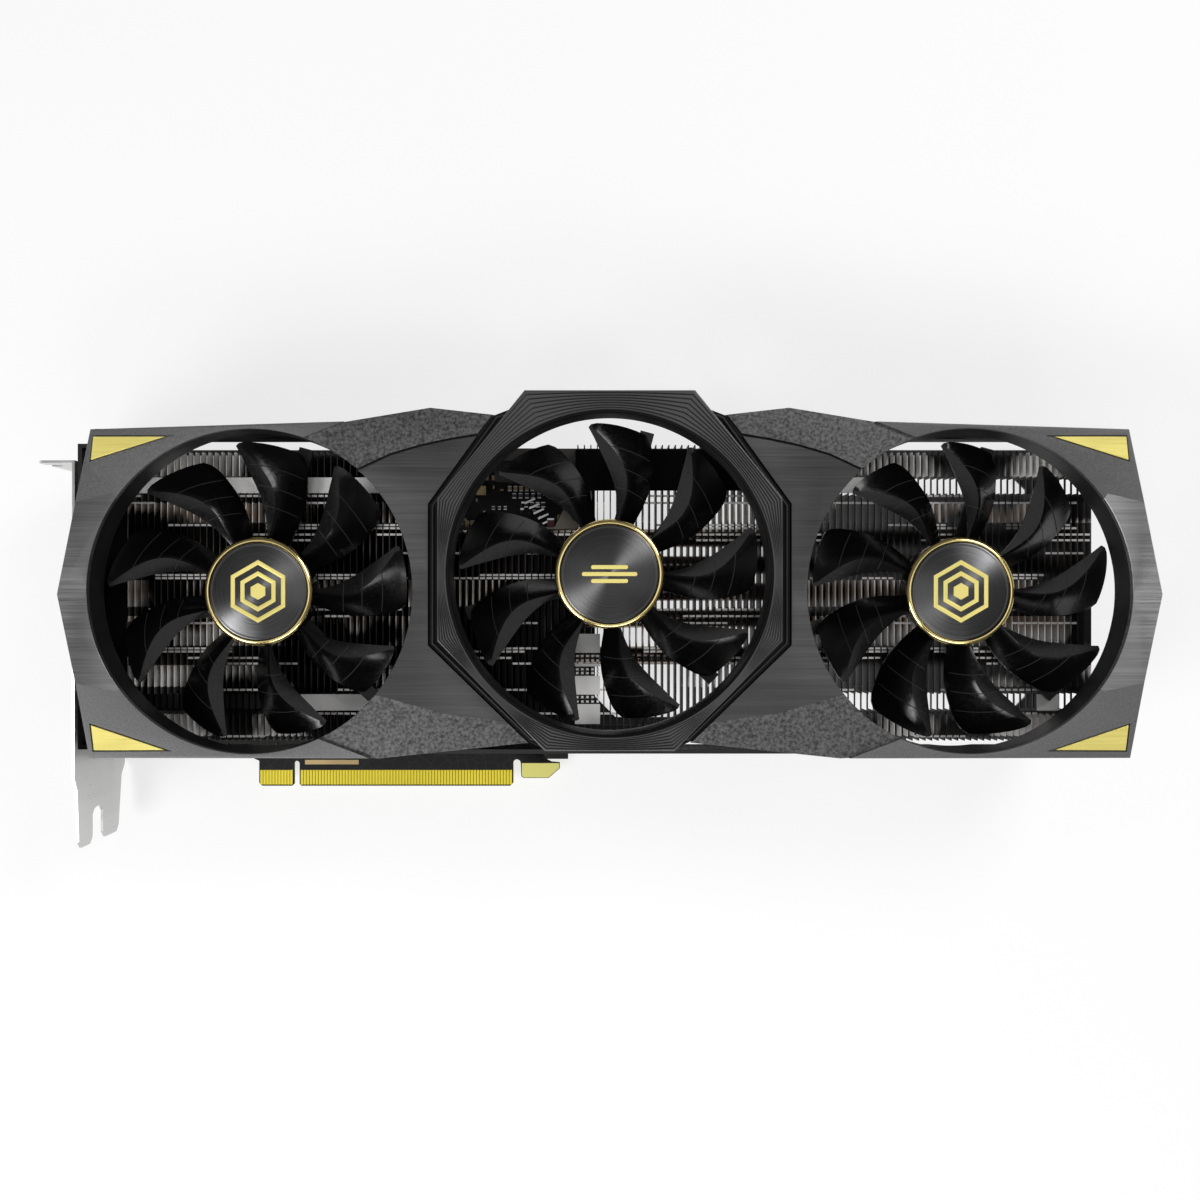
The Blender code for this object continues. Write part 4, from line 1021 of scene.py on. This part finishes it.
def build_emblem(tag, cx, cy, lift):
    """Generic ornament: nested open hexagons on the outer fans, plain bars on the middle one."""
    z0, z1 = 40.86 + lift, 41.14 + lift
    bm = bmesh.new()
    if tag == "middle":
        for dy, half in ((2.1, 5.6), (0.0, 8.4), (-2.1, 5.6)):
            pts = rounded(cx - half, cx + half, cy + dy - 0.62, cy + dy + 0.62, 0.6, 6)
            add_prism(bm, pts, z0, z1)
    else:
        for R, w, a0 in ((9.6, 1.5, 90), (6.2, 1.5, 30)):
            hexo = circle(cx, cy, R, 6, math.radians(a0))
            hexi = circle(cx, cy, R - w, 6, math.radians(a0))
            lo_o, hi_o = loop_pts(bm, hexo, z0), loop_pts(bm, hexo, z1)
            lo_i, hi_i = loop_pts(bm, hexi, z0), loop_pts(bm, hexi, z1)
            for i in range(6):
                j = (i + 1) % 6
                bm.faces.new((hi_o[i], hi_o[j], hi_i[j], hi_i[i]))
                bm.faces.new((lo_o[i], lo_i[i], lo_i[j], lo_o[j]))
                bm.faces.new((lo_o[i], lo_o[j], hi_o[j], hi_o[i]))
                bm.faces.new((lo_i[j], lo_i[i], hi_i[i], hi_i[j]))
        add_prism(bm, circle(cx, cy, 2.6, 6, math.radians(90)), z0, z1)
    obj = finish_mesh("emblem_" + tag, bm, M["emblem"], 30, "fan_" + tag)
    bevel(obj, 0.08, 2)


def build_fan_frame(tag, cx, cy, lift):
    base = bmesh.new()
    add_lathe(base, cx, cy, [(0.0, 30.2), (15.2, 30.2), (15.6, 29.8), (15.6, 28.4), (0.0, 28.4)], 96, closed=False)
    steps = []
    for ang in (75.0, 195.0, 315.0):
        a = math.radians(ang)
        d, p = Vector((math.cos(a), math.sin(a))), Vector((-math.sin(a), math.cos(a)))
        c = Vector((cx, cy))
        pts = [c + d * 13.0 - p * 3.2, c + d * 30 - p * 2.4, c + d * 46.5 - p * 2.2, c + d * 46.5 + p * 2.2,
               c + d * 30 + p * 2.4, c + d * 13.0 + p * 3.2]
        steps.append(("UNION", prism_bm([tuple(q) for q in pts], 28.45, 30.1)))
    if lift:
        steps.append(("UNION", prism_bm(circle(cx, cy, 11.0, 64), 30.0, 30.2 + lift)))
    bm = solid_boolean(base, steps)
    obj = finish_mesh("frame_" + tag, bm, M["frame"], 30, "card", ("fan_frame_" + tag,), scale=False)
    bevel(obj, 0.3, 2, 40)
    # stator: a toothed core round a central bore
    bm = bmesh.new()
    pts = []
    for t in range(6):
        for off, r in ((-24, 13.2), (-12, 13.6), (0, 13.7), (12, 13.6), (24, 13.2), (25, 6.4), (35, 6.4)):
            a = math.radians(60.0 * t + off)
            pts.append((cx + r * math.cos(a), cy + r * math.sin(a)))
    body = prism_bm(pts, 30.6 + lift, 37.6 + lift)
    bm = solid_boolean(body, [("DIFFERENCE", prism_bm(circle(cx, cy, 2.1, 32), 28.0 + lift, 40.0 + lift))])
    obj = finish_mesh("stator_" + tag, bm, M["stator"], 30, "card", ("motor_stator_" + tag,),
                      scale=False)
    bevel(obj, 0.2, 2, 40)


for tag, (cx, cy, lift) in FANS.items():
    build_rotor(tag, cx, cy, lift)
    build_emblem(tag, cx, cy, lift)
    build_fan_frame(tag, cx, cy, lift)


# ------------------------------------------------------------ fin stacks
CHANNELS = [(41.4, 46.6), (-27.4, -22.0)]
STRIPS = {"left": (((-146.0, -58.0),), ((-92.0, -58.0),)),
          "right": (((65.0, 100.0),), ((141.0, 148.0),))}
TAB_ROWS = [40.6, 38.4, 31.4, 30.4, 28.4, 26.6, 22.5, 15.6, 14.6, 4.7, 2.6, 0.4, -7.6, -8.6, -10.6, -12.4,
            -20.7, -28.2, -35.4]


def build_fins(tag, x0, x1, y0, y1, hole=None, base=None):
    bm = bmesh.new()
    pitch, t = 2.06, 0.34
    count = int((x1 - x0 - t) / pitch)
    step = (x1 - x0 - t) / count
    for i in range(count + 1):
        a = x0 + i * step
        spans = [(y0, y1)]
        if hole and hole[0] <= a <= hole[1]:
            spans = [(y0, hole[2])]
        for lo, hi in spans:
            # side profile in YZ: full height with notches at the channels, stepped ends
            prof = [(lo, 17.2), (hi, 17.2), (hi, 26.0), (hi - 1.6, 26.0), (hi - 1.6, 28.0)]
            for c0, c1 in CHANNELS:
                if c1 < hi and c0 > lo and tag != "middle":
                    prof += [(c1, 28.0), (c1, 18.2), (c0, 18.2), (c0, 28.0)]
            prof += [(lo + 1.6, 28.0), (lo + 1.6, 26.0), (lo, 26.0)]
            add_prism(bm, prof, a, a + t, "X", 1)
        # folded tabs that lock one fin to the next
        if i < count:
            for row in TAB_ROWS:
                if not (spans[0][0] + 1.5 < row < spans[0][1] - 1.5):
                    continue
                if tag != "middle" and any(c0 - 0.8 < row < c1 + 0.8 for c0, c1 in CHANNELS):
                    continue
                if noise.noise(Vector((a * 0.045, row * 0.21, 3.7))) < 0.02:
                    continue
                add_box(bm, a + t - 0.02, a + step - 0.12, row - 0.32, row + 0.32, 27.62, 27.9)
    # strips laid in the channels, near white as painted light for the bright floor seen through
    for (c0, c1), spans in zip(CHANNELS, STRIPS.get(tag, ((), ()))):
        for a, b in spans:
            add_box(bm, a, b, c0 + 0.12, c1 - 0.12, 27.2, 27.6, 2)
    if tag == "middle":
        # closed near-white plates between the tab rows, beside the board's end: painted light for the bright floor seen
        # through
        for lo, hi in ((-31.5, -25.2), (-22.2, -16.3), (-13.3, -12.4), (-9.0, -3.0)):
            add_box(bm, -5.2, 2.7, lo, hi, 27.7, 28.05, 2)
        for row in (-24.4, -23.0, -15.4, -14.2, -11.4, -10.0):
            for q in range(5):
                add_box(bm, -4.9 + 1.62 * q, -4.1 + 1.62 * q, row - 0.35, row + 0.35, 27.7, 28.05, 2)
    finish_mesh("fins_" + tag, bm, [M["fin"], M["fin_wall_middle" if tag == "middle" else "fin_wall"], M["strip"]], 30, "card",
                ("fin_stack_" + tag,))
    # tie bars at the ends, or a full contact base over the board
    bm = bmesh.new()
    if base == "full":
        add_box(bm, x0, x1, y0, y1, 16.75, 17.15)
    else:
        for p, q in ((y0, y0 + 4.0), (y1 - 4.0, y1)):
            add_box(bm, x0, x1, p, q, 16.75, 17.15)
        if tag == "middle":
            bm2 = bm
            add_box(bm2, x0, -5.0, y0 + 4.05, 29.5, 16.75, 17.15)
    # painted shade: the right base keeps the bright fin metal, the left and middle ones take the painted-shade copy
    obj = finish_mesh("fin_base_" + tag, bm, M["fin" if tag == "right" else "fin_base"], 30, "card", ("fin_stack_" + tag,))
    bevel(obj, 0.08, 1)


build_fins("left", -146.5, -57.5, -37.0, 55.0, base="full")
build_fins("middle", -48.0, 60.0, -37.0, 57.0, hole=(-50.0, -6.1, 30.0))
build_fins("right", 64.5, 158.0, -37.0, 55.0)

# ------------------------------------------------------------ heat pipes and cold plate
for i in range(1, 6):
    lo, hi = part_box("heat_pipe_%d" % i)
    y = (lo[1] + hi[1]) / 2 / MM
    x0, x1 = lo[0] / MM, hi[0] / MM
    r, zc = 3.0, 13.4
    bm = bmesh.new()
    prof = [(x0, 0.02), (x0 + 0.5, r * 0.35), (x0 + 1.5, r * 0.72), (x0 + 3.0, r * 0.95), (x0 + 4.5, r),
            (x1 - 4.5, r), (x1 - 3.0, r * 0.95), (x1 - 1.5, r * 0.72), (x1 - 0.5, r * 0.35), (x1, 0.02)]
    rings = []
    for x, rr in prof:
        rings.append([bm.verts.new((x, y + rr * math.cos(2 * math.pi * q / 28), zc + rr * math.sin(2 * math.pi * q / 28)))
                      for q in range(28)])
    for a, b in zip(rings, rings[1:]):
        for q in range(28):
            j = (q + 1) % 28
            bm.faces.new((a[q], a[j], b[j], b[q]))
    bm.faces.new(rings[0])
    bm.faces.new(rings[-1])
    finish_mesh("pipe_%d" % i, bm, M["pipe"], 40, "card", ("heat_pipe_%d" % i,))

SCREWS = [(-62.0, -21.0), (-4.5, -21.0), (-62.0, 36.0), (-4.5, 36.0)]
COLD_PLATE = [(-66.0, -25.0), (-58.0, -25.0), (-54.0, -17.0), (-12.5, -17.0), (-8.5, -25.0),
              (-1.0, -25.0), (-1.0, -17.5), (-6.0, -13.0), (-6.0, 28.0), (-1.0, 32.0), (-1.0, 40.0),
              (-8.5, 40.0), (-12.5, 32.0), (-54.0, 32.0), (-58.0, 40.0), (-66.0, 40.0),
              (-66.0, 32.0), (-60.5, 28.0), (-60.5, -13.0), (-66.0, -17.5)]
bm = solid_boolean(prism_bm(COLD_PLATE, 8.4, 10.1),
                   [("DIFFERENCE", prism_bm(circle(x, y, 2.2, 40), 7.0, 12.0)) for x, y in SCREWS])
obj = finish_mesh("cold_plate_detail", bm, M["plate"], 30, "card", ("cold_plate",), scale=False)
bevel(obj, 0.2, 2, 40)


# ------------------------------------------------------------ board
CONN_L, KEY0, KEY1, CONN_R, CONN_B = -111.6, -99.95, -98.05, -26.4, -54.6


def build_board():
    y0 = -45.6
    hook_slot = [(-26.2, -47.0)]
    pts = [(-156.8, 56.4), (-156.8, -37.5), (-150.0, -44.5), (CONN_L - 2.5, -44.5),
           (CONN_L - 1.5, y0), (CONN_L, y0 - 0.6), (CONN_L, CONN_B + 1.0),
           (CONN_L + 1.0, CONN_B), (KEY0 - 0.6, CONN_B),
           (KEY0, CONN_B + 0.6)]
    pts += [(KEY0 + 0.95 - 0.95 * math.cos(math.pi * i / 8), -47.2 + 0.95 * math.sin(math.pi * i / 8)) for i in range(9)]
    pts += [(KEY1, CONN_B + 0.6), (KEY1 + 0.6, CONN_B), (CONN_R - 1.0, CONN_B), (CONN_R, CONN_B + 1.0)]
    pts += [(CONN_R + 1.25 - 1.25 * math.cos(math.pi * i / 10), -47.0 + 1.25 * math.sin(math.pi * i / 10)) for i in range(11)]
    pts += [(-23.7, -51.4), (-22.9, -52.0), (-14.5, -52.0), (-10.8, -48.8), (-10.8, -46.8), (-13.5, -46.6),
            (-15.5, -45.6), (-8.0, -45.6), (-8.0, 56.4)]
    bm = solid_boolean(prism_bm(pts, 4.0, 5.6),
                       [("DIFFERENCE", prism_bm(circle(x, y, 2.2, 40), 3.0, 7.0)) for x, y in SCREWS])
    obj = finish_mesh("board", bm, M["board"], 30, "card", ("pcb",), scale=False)
    bevel(obj, 0.1, 1, 40)
    # contact fingers, both faces, 1 mm pitch
    bm = bmesh.new()
    for start, end in ((CONN_L, KEY0), (KEY1, CONN_R)):
        n = int((end - start - 0.6) / 1.0)
        off = start + (end - start - (n - 1) * 1.0) / 2
        for i in range(n):
            x = off + i * 1.0
            for z0, z1 in ((5.58, 5.66), (3.94, 4.02)):
                add_box(bm, x - 0.41, x + 0.41, CONN_B + 0.45, -49.3, z0, z1)
    obj = finish_mesh("contact_fingers", bm, M["contact"], 30, "card")
    # plated area on the retention hook
    bm = bmesh.new()
    for z0, z1 in ((5.58, 5.66), (3.94, 4.02)):
        add_prism(bm, [(-23.5, -51.2), (-22.8, -51.8), (-14.6, -51.8), (-11.0, -48.7), (-11.0, -47.0), (-23.5, -47.0)], z0, z1)
    finish_mesh("hook_plating", bm, M["contact_pale"], 30, "card")
    # plain tan marking strip beside the connector
    bm = bmesh.new()
    add_box(bm, -96.2, -78.2, -47.4, -45.9, 5.58, 5.68)
    finish_mesh("board_strip", bm, M["marking"], 30, "card")


build_board()


# ------------------------------------------------------------ parts on the board
def simple(name, pts, z0, z1, mat, node, bw=0.2, axis="Z"):
    obj = finish_mesh(name, prism_bm(pts, z0, z1, axis), mat, 30, "card", (node,) if node else ())
    bevel(obj, bw, 2)
    return obj


simple("gpu_carrier", rounded(-54.0, -13.0, -13.0, 28.0, 1.0, 3), 5.9, 7.1, M["substrate"], "gpu_substrate", 0.1)
simple("gpu_silicon", rect(-45.0, -22.0, -3.5, 18.5), 7.4, 8.1, M["die"], "gpu_die", 0.08)
spots = [(-76.0, -10.0), (-76.0, 7.5), (-76.0, 25.0), (-33.5, -27.0), (-50.5, -27.0), (-50.5, 42.0)]
for i, (x, y) in enumerate(spots):
    w, h = (6.0, 7.0) if i < 3 else (7.0, 6.0)
    simple("memory_%d" % (i + 1), rect(x - w, x + w, y - h, y + h), 5.9, 7.0, M["chip"],
           "memory_chip_%d" % (i + 1), 0.12)
for i in range(3):
    y = 44.0 - 13.0 * i
    simple("choke_%d" % (i + 1), rounded(-132.0, -120.5, y - 5.2, y + 5.2, 1.2, 4), 5.9, 10.4, M["choke"],
           "power_choke_%d" % (i + 1), 0.4)

# small parts on the board, seen past the blades of the middle fan
rng = random.Random(7)
small = {key: bmesh.new() for key in ("tan", "dark", "can", "red", "blue", "green")}
# rows of chip capacitors: (x, y, count, pitch, key)
for x, y, count, pitch, key in ((-37.5, 48.6, 4, 2.3, "tan"), (-27.5, 45.0, 6, 1.9, "tan"),
                                (-26.0, 42.6, 5, 2.1, "blue"), (-37.0, 44.2, 1, 3.0, "tan"),
                                (-22.0, 39.6, 4, 1.9, "dark"), (-9.6, 30.4, 2, 2.2, "tan"),
                                (-33.0, 38.5, 3, 2.0, "green"), (-45.5, 33.5, 8, 1.8, "tan")):
    for i in range(count):
        cx = x + pitch * i
        w, h = (0.62, 0.95) if key != "green" else (0.5, 0.5)
        add_box(small[key], cx - w, cx + w, y - h * 0.62, y + h * 0.62, 5.58, 6.5)
        for sgn in (-1, 1):
            add_box(small["can"], cx - w, cx + w, y + sgn * h * 0.62, y + sgn * (h * 0.62 + 0.28), 5.58, 6.5)
add_box(small["tan"], -38.6, -35.4, 42.8, 45.8, 5.58, 7.4)
add_box(small["red"], -14.9, -12.6, 31.6, 34.4, 5.58, 7.2)
add_box(small["can"], -14.9, -12.6, 34.4, 35.0, 5.58, 7.2)
add_box(small["tan"], -11.6, -9.8, 32.8, 35.6, 5.58, 7.0)
for i in range(5):
    # low coils lying on the slant
    x, y = -20.6 + 1.5 * i, 40.6 - 1.7 * i
    add_prism(small["can"], [(x - 1.8, y - 0.9), (x + 1.7, y + 0.7), (x + 1.4, y + 1.2), (x - 2.0, y - 0.3)], 5.58, 6.9)
for i in range(9):
    x = -47.0 + 4.6 * i
    add_box(small["dark"], x, x + 3.2, 50.2, 53.0, 5.58, 6.5)
for i in range(34):
    x = -48.0 + 42.0 * rng.random()
    y = 30.5 + 17.0 * rng.random()
    w, h = (0.55, 0.3) if rng.random() < 0.5 else (0.3, 0.55)
    add_box(small["tan" if i % 4 == 0 else ("can" if i % 4 == 1 else "dark")], x - w, x + w, y - h, y + h, 5.58, 6.05)
for i in range(60):
    x = -150.0 + 120.0 * rng.random()
    y = -43.5 + 5.0 * rng.random()
    w, h = (0.55, 0.3) if rng.random() < 0.5 else (0.3, 0.55)
    add_box(small["tan" if i % 3 == 0 else "dark"], x - w, x + w, y - h, y + h, 5.58, 6.0)
for key, mat, slot in (("tan", "cap_tan", "choke_grey"), ("dark", "chip", "chip_black"),
                       ("can", "cap_can", "port_shell"), ("red", "cap_red", "choke_grey"),
                       ("blue", "cap_blue", "choke_grey"), ("green", "substrate", "substrate_green")):
    finish_mesh("small_parts_" + key, small[key], M[mat], 30, "card")

# power socket
steps = []
for i in range(6):
    for j in range(2):
        x, zz = -30.3 + 3.0 * i, 6.9 + 2.9 * j
        steps.append(("DIFFERENCE", prism_bm(rect(x, x + 2.1, zz, zz + 2.1), 48.5, 59.0, "Y")))
bm = solid_boolean(prism_bm(rounded(-32.0, -11.5, 46.5, 57.6, 0.6, 3), 5.9, 13.1), steps)
obj = finish_mesh("power_socket_detail", bm, M["socket"], 30, "card", ("power_socket",), scale=False)
bevel(obj, 0.12, 1, 40)

# ------------------------------------------------------------ bracket and display sockets
PORTS = [("displayport_1", 36.0, 8.9, 6.6), ("displayport_2", 14.0, 8.9, 6.6),
         ("displayport_3", -8.0, 8.9, 6.6), ("hdmi_port", -30.0, 7.9, 6.4)]


def port_outline(y, half, z0, z1, g=0.0):
    c = 2.2
    return [(y - half - g + c, z0 - g), (y + half + g - c, z0 - g), (y + half + g, z0 - g + c),
            (y + half + g, z1 + g), (y - half - g, z1 + g), (y - half - g, z0 - g + c)]


def build_bracket():
    bx0, bx1, z0, z1 = -159.4, -158.6, 0.6, 38.6
    end_x, top, low, tang = -170.0, 50.6, -47.5, -69.4
    pts = [(top, z0), (top, z1), (low, z1), (-51.0, z1 - 1.8), (tang + 2.0, z1 - 3.2),
           (tang, z1 - 5.0), (tang, z1 - 11.0), (tang + 2.0, z1 - 12.8),
           (-60.5, z1 - 12.8), (-58.9, z1 - 14.0), (-58.4, z1 - 15.8), (-58.4, z1 - 17.8), (-58.9, z1 - 19.4),
           (-60.5, z1 - 20.6),
           (tang + 2.0, z1 - 20.6), (tang, z1 - 22.4), (tang, z1 - 31.0),
           (tang + 2.0, z1 - 32.8), (-51.0, z1 - 35.2), (low, z0)]
    flange = [(bx1 - 0.1, z0), (bx1 - 0.1, z1), (end_x + 1.2, z1), (end_x, z1 - 1.2)]
    for c in (7.5, 27.8):
        r = 2.0
        flange += [(end_x, z1 - c + r)]
        flange += [(end_x + 2.4 + r * math.sin(math.pi * i / 8), z1 - c + r * math.cos(math.pi * i / 8)) for i in range(9)]
        flange += [(end_x, z1 - c - r)]
    flange += [(end_x, z0 + 1.2), (end_x + 1.2, z0)]
    steps = [("UNION", prism_bm(flange, top - 0.8, top, "Y"))]
    for _, y, half, h in PORTS:
        steps.append(("DIFFERENCE", prism_bm(port_outline(y, half, 6.2, 6.2 + h, 0.3), bx0 - 1, bx1 + 1, "X")))
    for i in range(9):
        y = -38.0 + i * 9.6
        slot = rounded(y, y + 5.6, 19.5, 32.0, 1.2, 4)
        steps.append(("DIFFERENCE", prism_bm(slot, bx0 - 1, bx1 + 1, "X")))
    bm = solid_boolean(prism_bm(pts, bx0, bx1, "X"), steps)
    obj = finish_mesh("slot_bracket", bm, M["bracket"], 30, "card", ("io_bracket",), scale=False)
    bevel(obj, 0.15, 2, 40)
    # no rivets are built: the loop over the foot's two places is empty
    bm = bmesh.new()
    for y in (-41.0, 50.0):
        pass
    bm.free()


build_bracket()
for name, y, half, h in PORTS:
    z0 = 6.2
    zc = z0 + h * 0.52
    bm = solid_boolean(prism_bm(port_outline(y, half, z0, z0 + h), -161.6, -146.0, "X"),
                       [("DIFFERENCE", prism_bm(port_outline(y, half - 0.5, z0 + 0.5, z0 + h - 0.5), -163.0, -149.0, "X"))])
    obj = finish_mesh(name + "_shell", bm, M["port"], 30, "card", (name,), scale=False)
    bevel(obj, 0.12, 2, 40)
    bm = bmesh.new()
    add_prism(bm, rect(y - half + 2.6, y + half - 2.6, zc - 0.8, zc + 0.8), -156.0, -148.9, "X")
    obj = finish_mesh(name + "_tongue", bm, M["socket"], 30, "card", (name,))
    bevel(obj, 0.15, 2)
    bm = bmesh.new()
    n = 9
    for q in range(n):
        yy = y - half + 3.4 + (2 * half - 6.8) * q / (n - 1)
        add_box(bm, -155.9, -149.2, yy - 0.25, yy + 0.25, zc + 0.78, zc + 0.9)
    finish_mesh(name + "_pins", bm, M["contact"], 30, "card")

# ------------------------------------------------------------ backplate and cooler screws
outline = [(-157.0, -37.2), (-155.0, -39.2), (149.0, -39.2), (154.0, -34.2),
           (154.0, 53.5), (149.0, 58.5), (-155.0, 58.5), (-157.0, 56.5)]
steps = [("DIFFERENCE", prism_bm([(8.0, -32.0), (140.0, -32.0), (147.0, -25.0), (147.0, 45.0), (140.0, 52.0),
                                  (8.0, 52.0), (1.0, 45.0), (1.0, -25.0)], -1.0, 3.0))]
for i in range(7):
    x = -142.0 + 9.0 * i
    steps.append(("DIFFERENCE", prism_bm([(x, -20.0), (x + 3.2, -20.0), (x + 9.2, 6.0), (x + 6.0, 6.0)], -1.0, 3.0)))
for x, y in SCREWS:
    steps.append(("DIFFERENCE", prism_bm(circle(x, y, 3.4, 48), -1.0, 3.0)))
steps.append(("UNION", prism_bm(rect(-150.0, 148.0, 56.9, 58.0), 1.0, 3.4)))
bm = solid_boolean(prism_bm(outline, 0.0, 1.6), steps)
obj = finish_mesh("backplate_detail", bm, M["backplate"], 30, "card", ("backplate",), scale=False)
bevel(obj, 0.25, 2, 40)

for i, (x, y) in enumerate(SCREWS):
    base = bmesh.new()
    add_lathe(base, x, y, [(0.0, 0.1), (2.7, 0.1), (3.1, 0.45), (3.1, 1.4), (1.6, 1.4), (1.6, 8.0), (0.0, 8.0)], 48,
              closed=False)
    cross = [(x - 1.7, y - 0.4), (x - 0.4, y - 0.4), (x - 0.4, y - 1.7), (x + 0.4, y - 1.7),
             (x + 0.4, y - 0.4), (x + 1.7, y - 0.4), (x + 1.7, y + 0.4), (x + 0.4, y + 0.4),
             (x + 0.4, y + 1.7), (x - 0.4, y + 1.7), (x - 0.4, y + 0.4), (x - 1.7, y + 0.4)]
    bm = solid_boolean(base, [("DIFFERENCE", prism_bm(cross, -1.0, 0.9))])
    finish_mesh("screw_%d" % (i + 1), bm, M["screw"], 35, "card", ("cooler_screw_%d" % (i + 1),),
                scale=False)
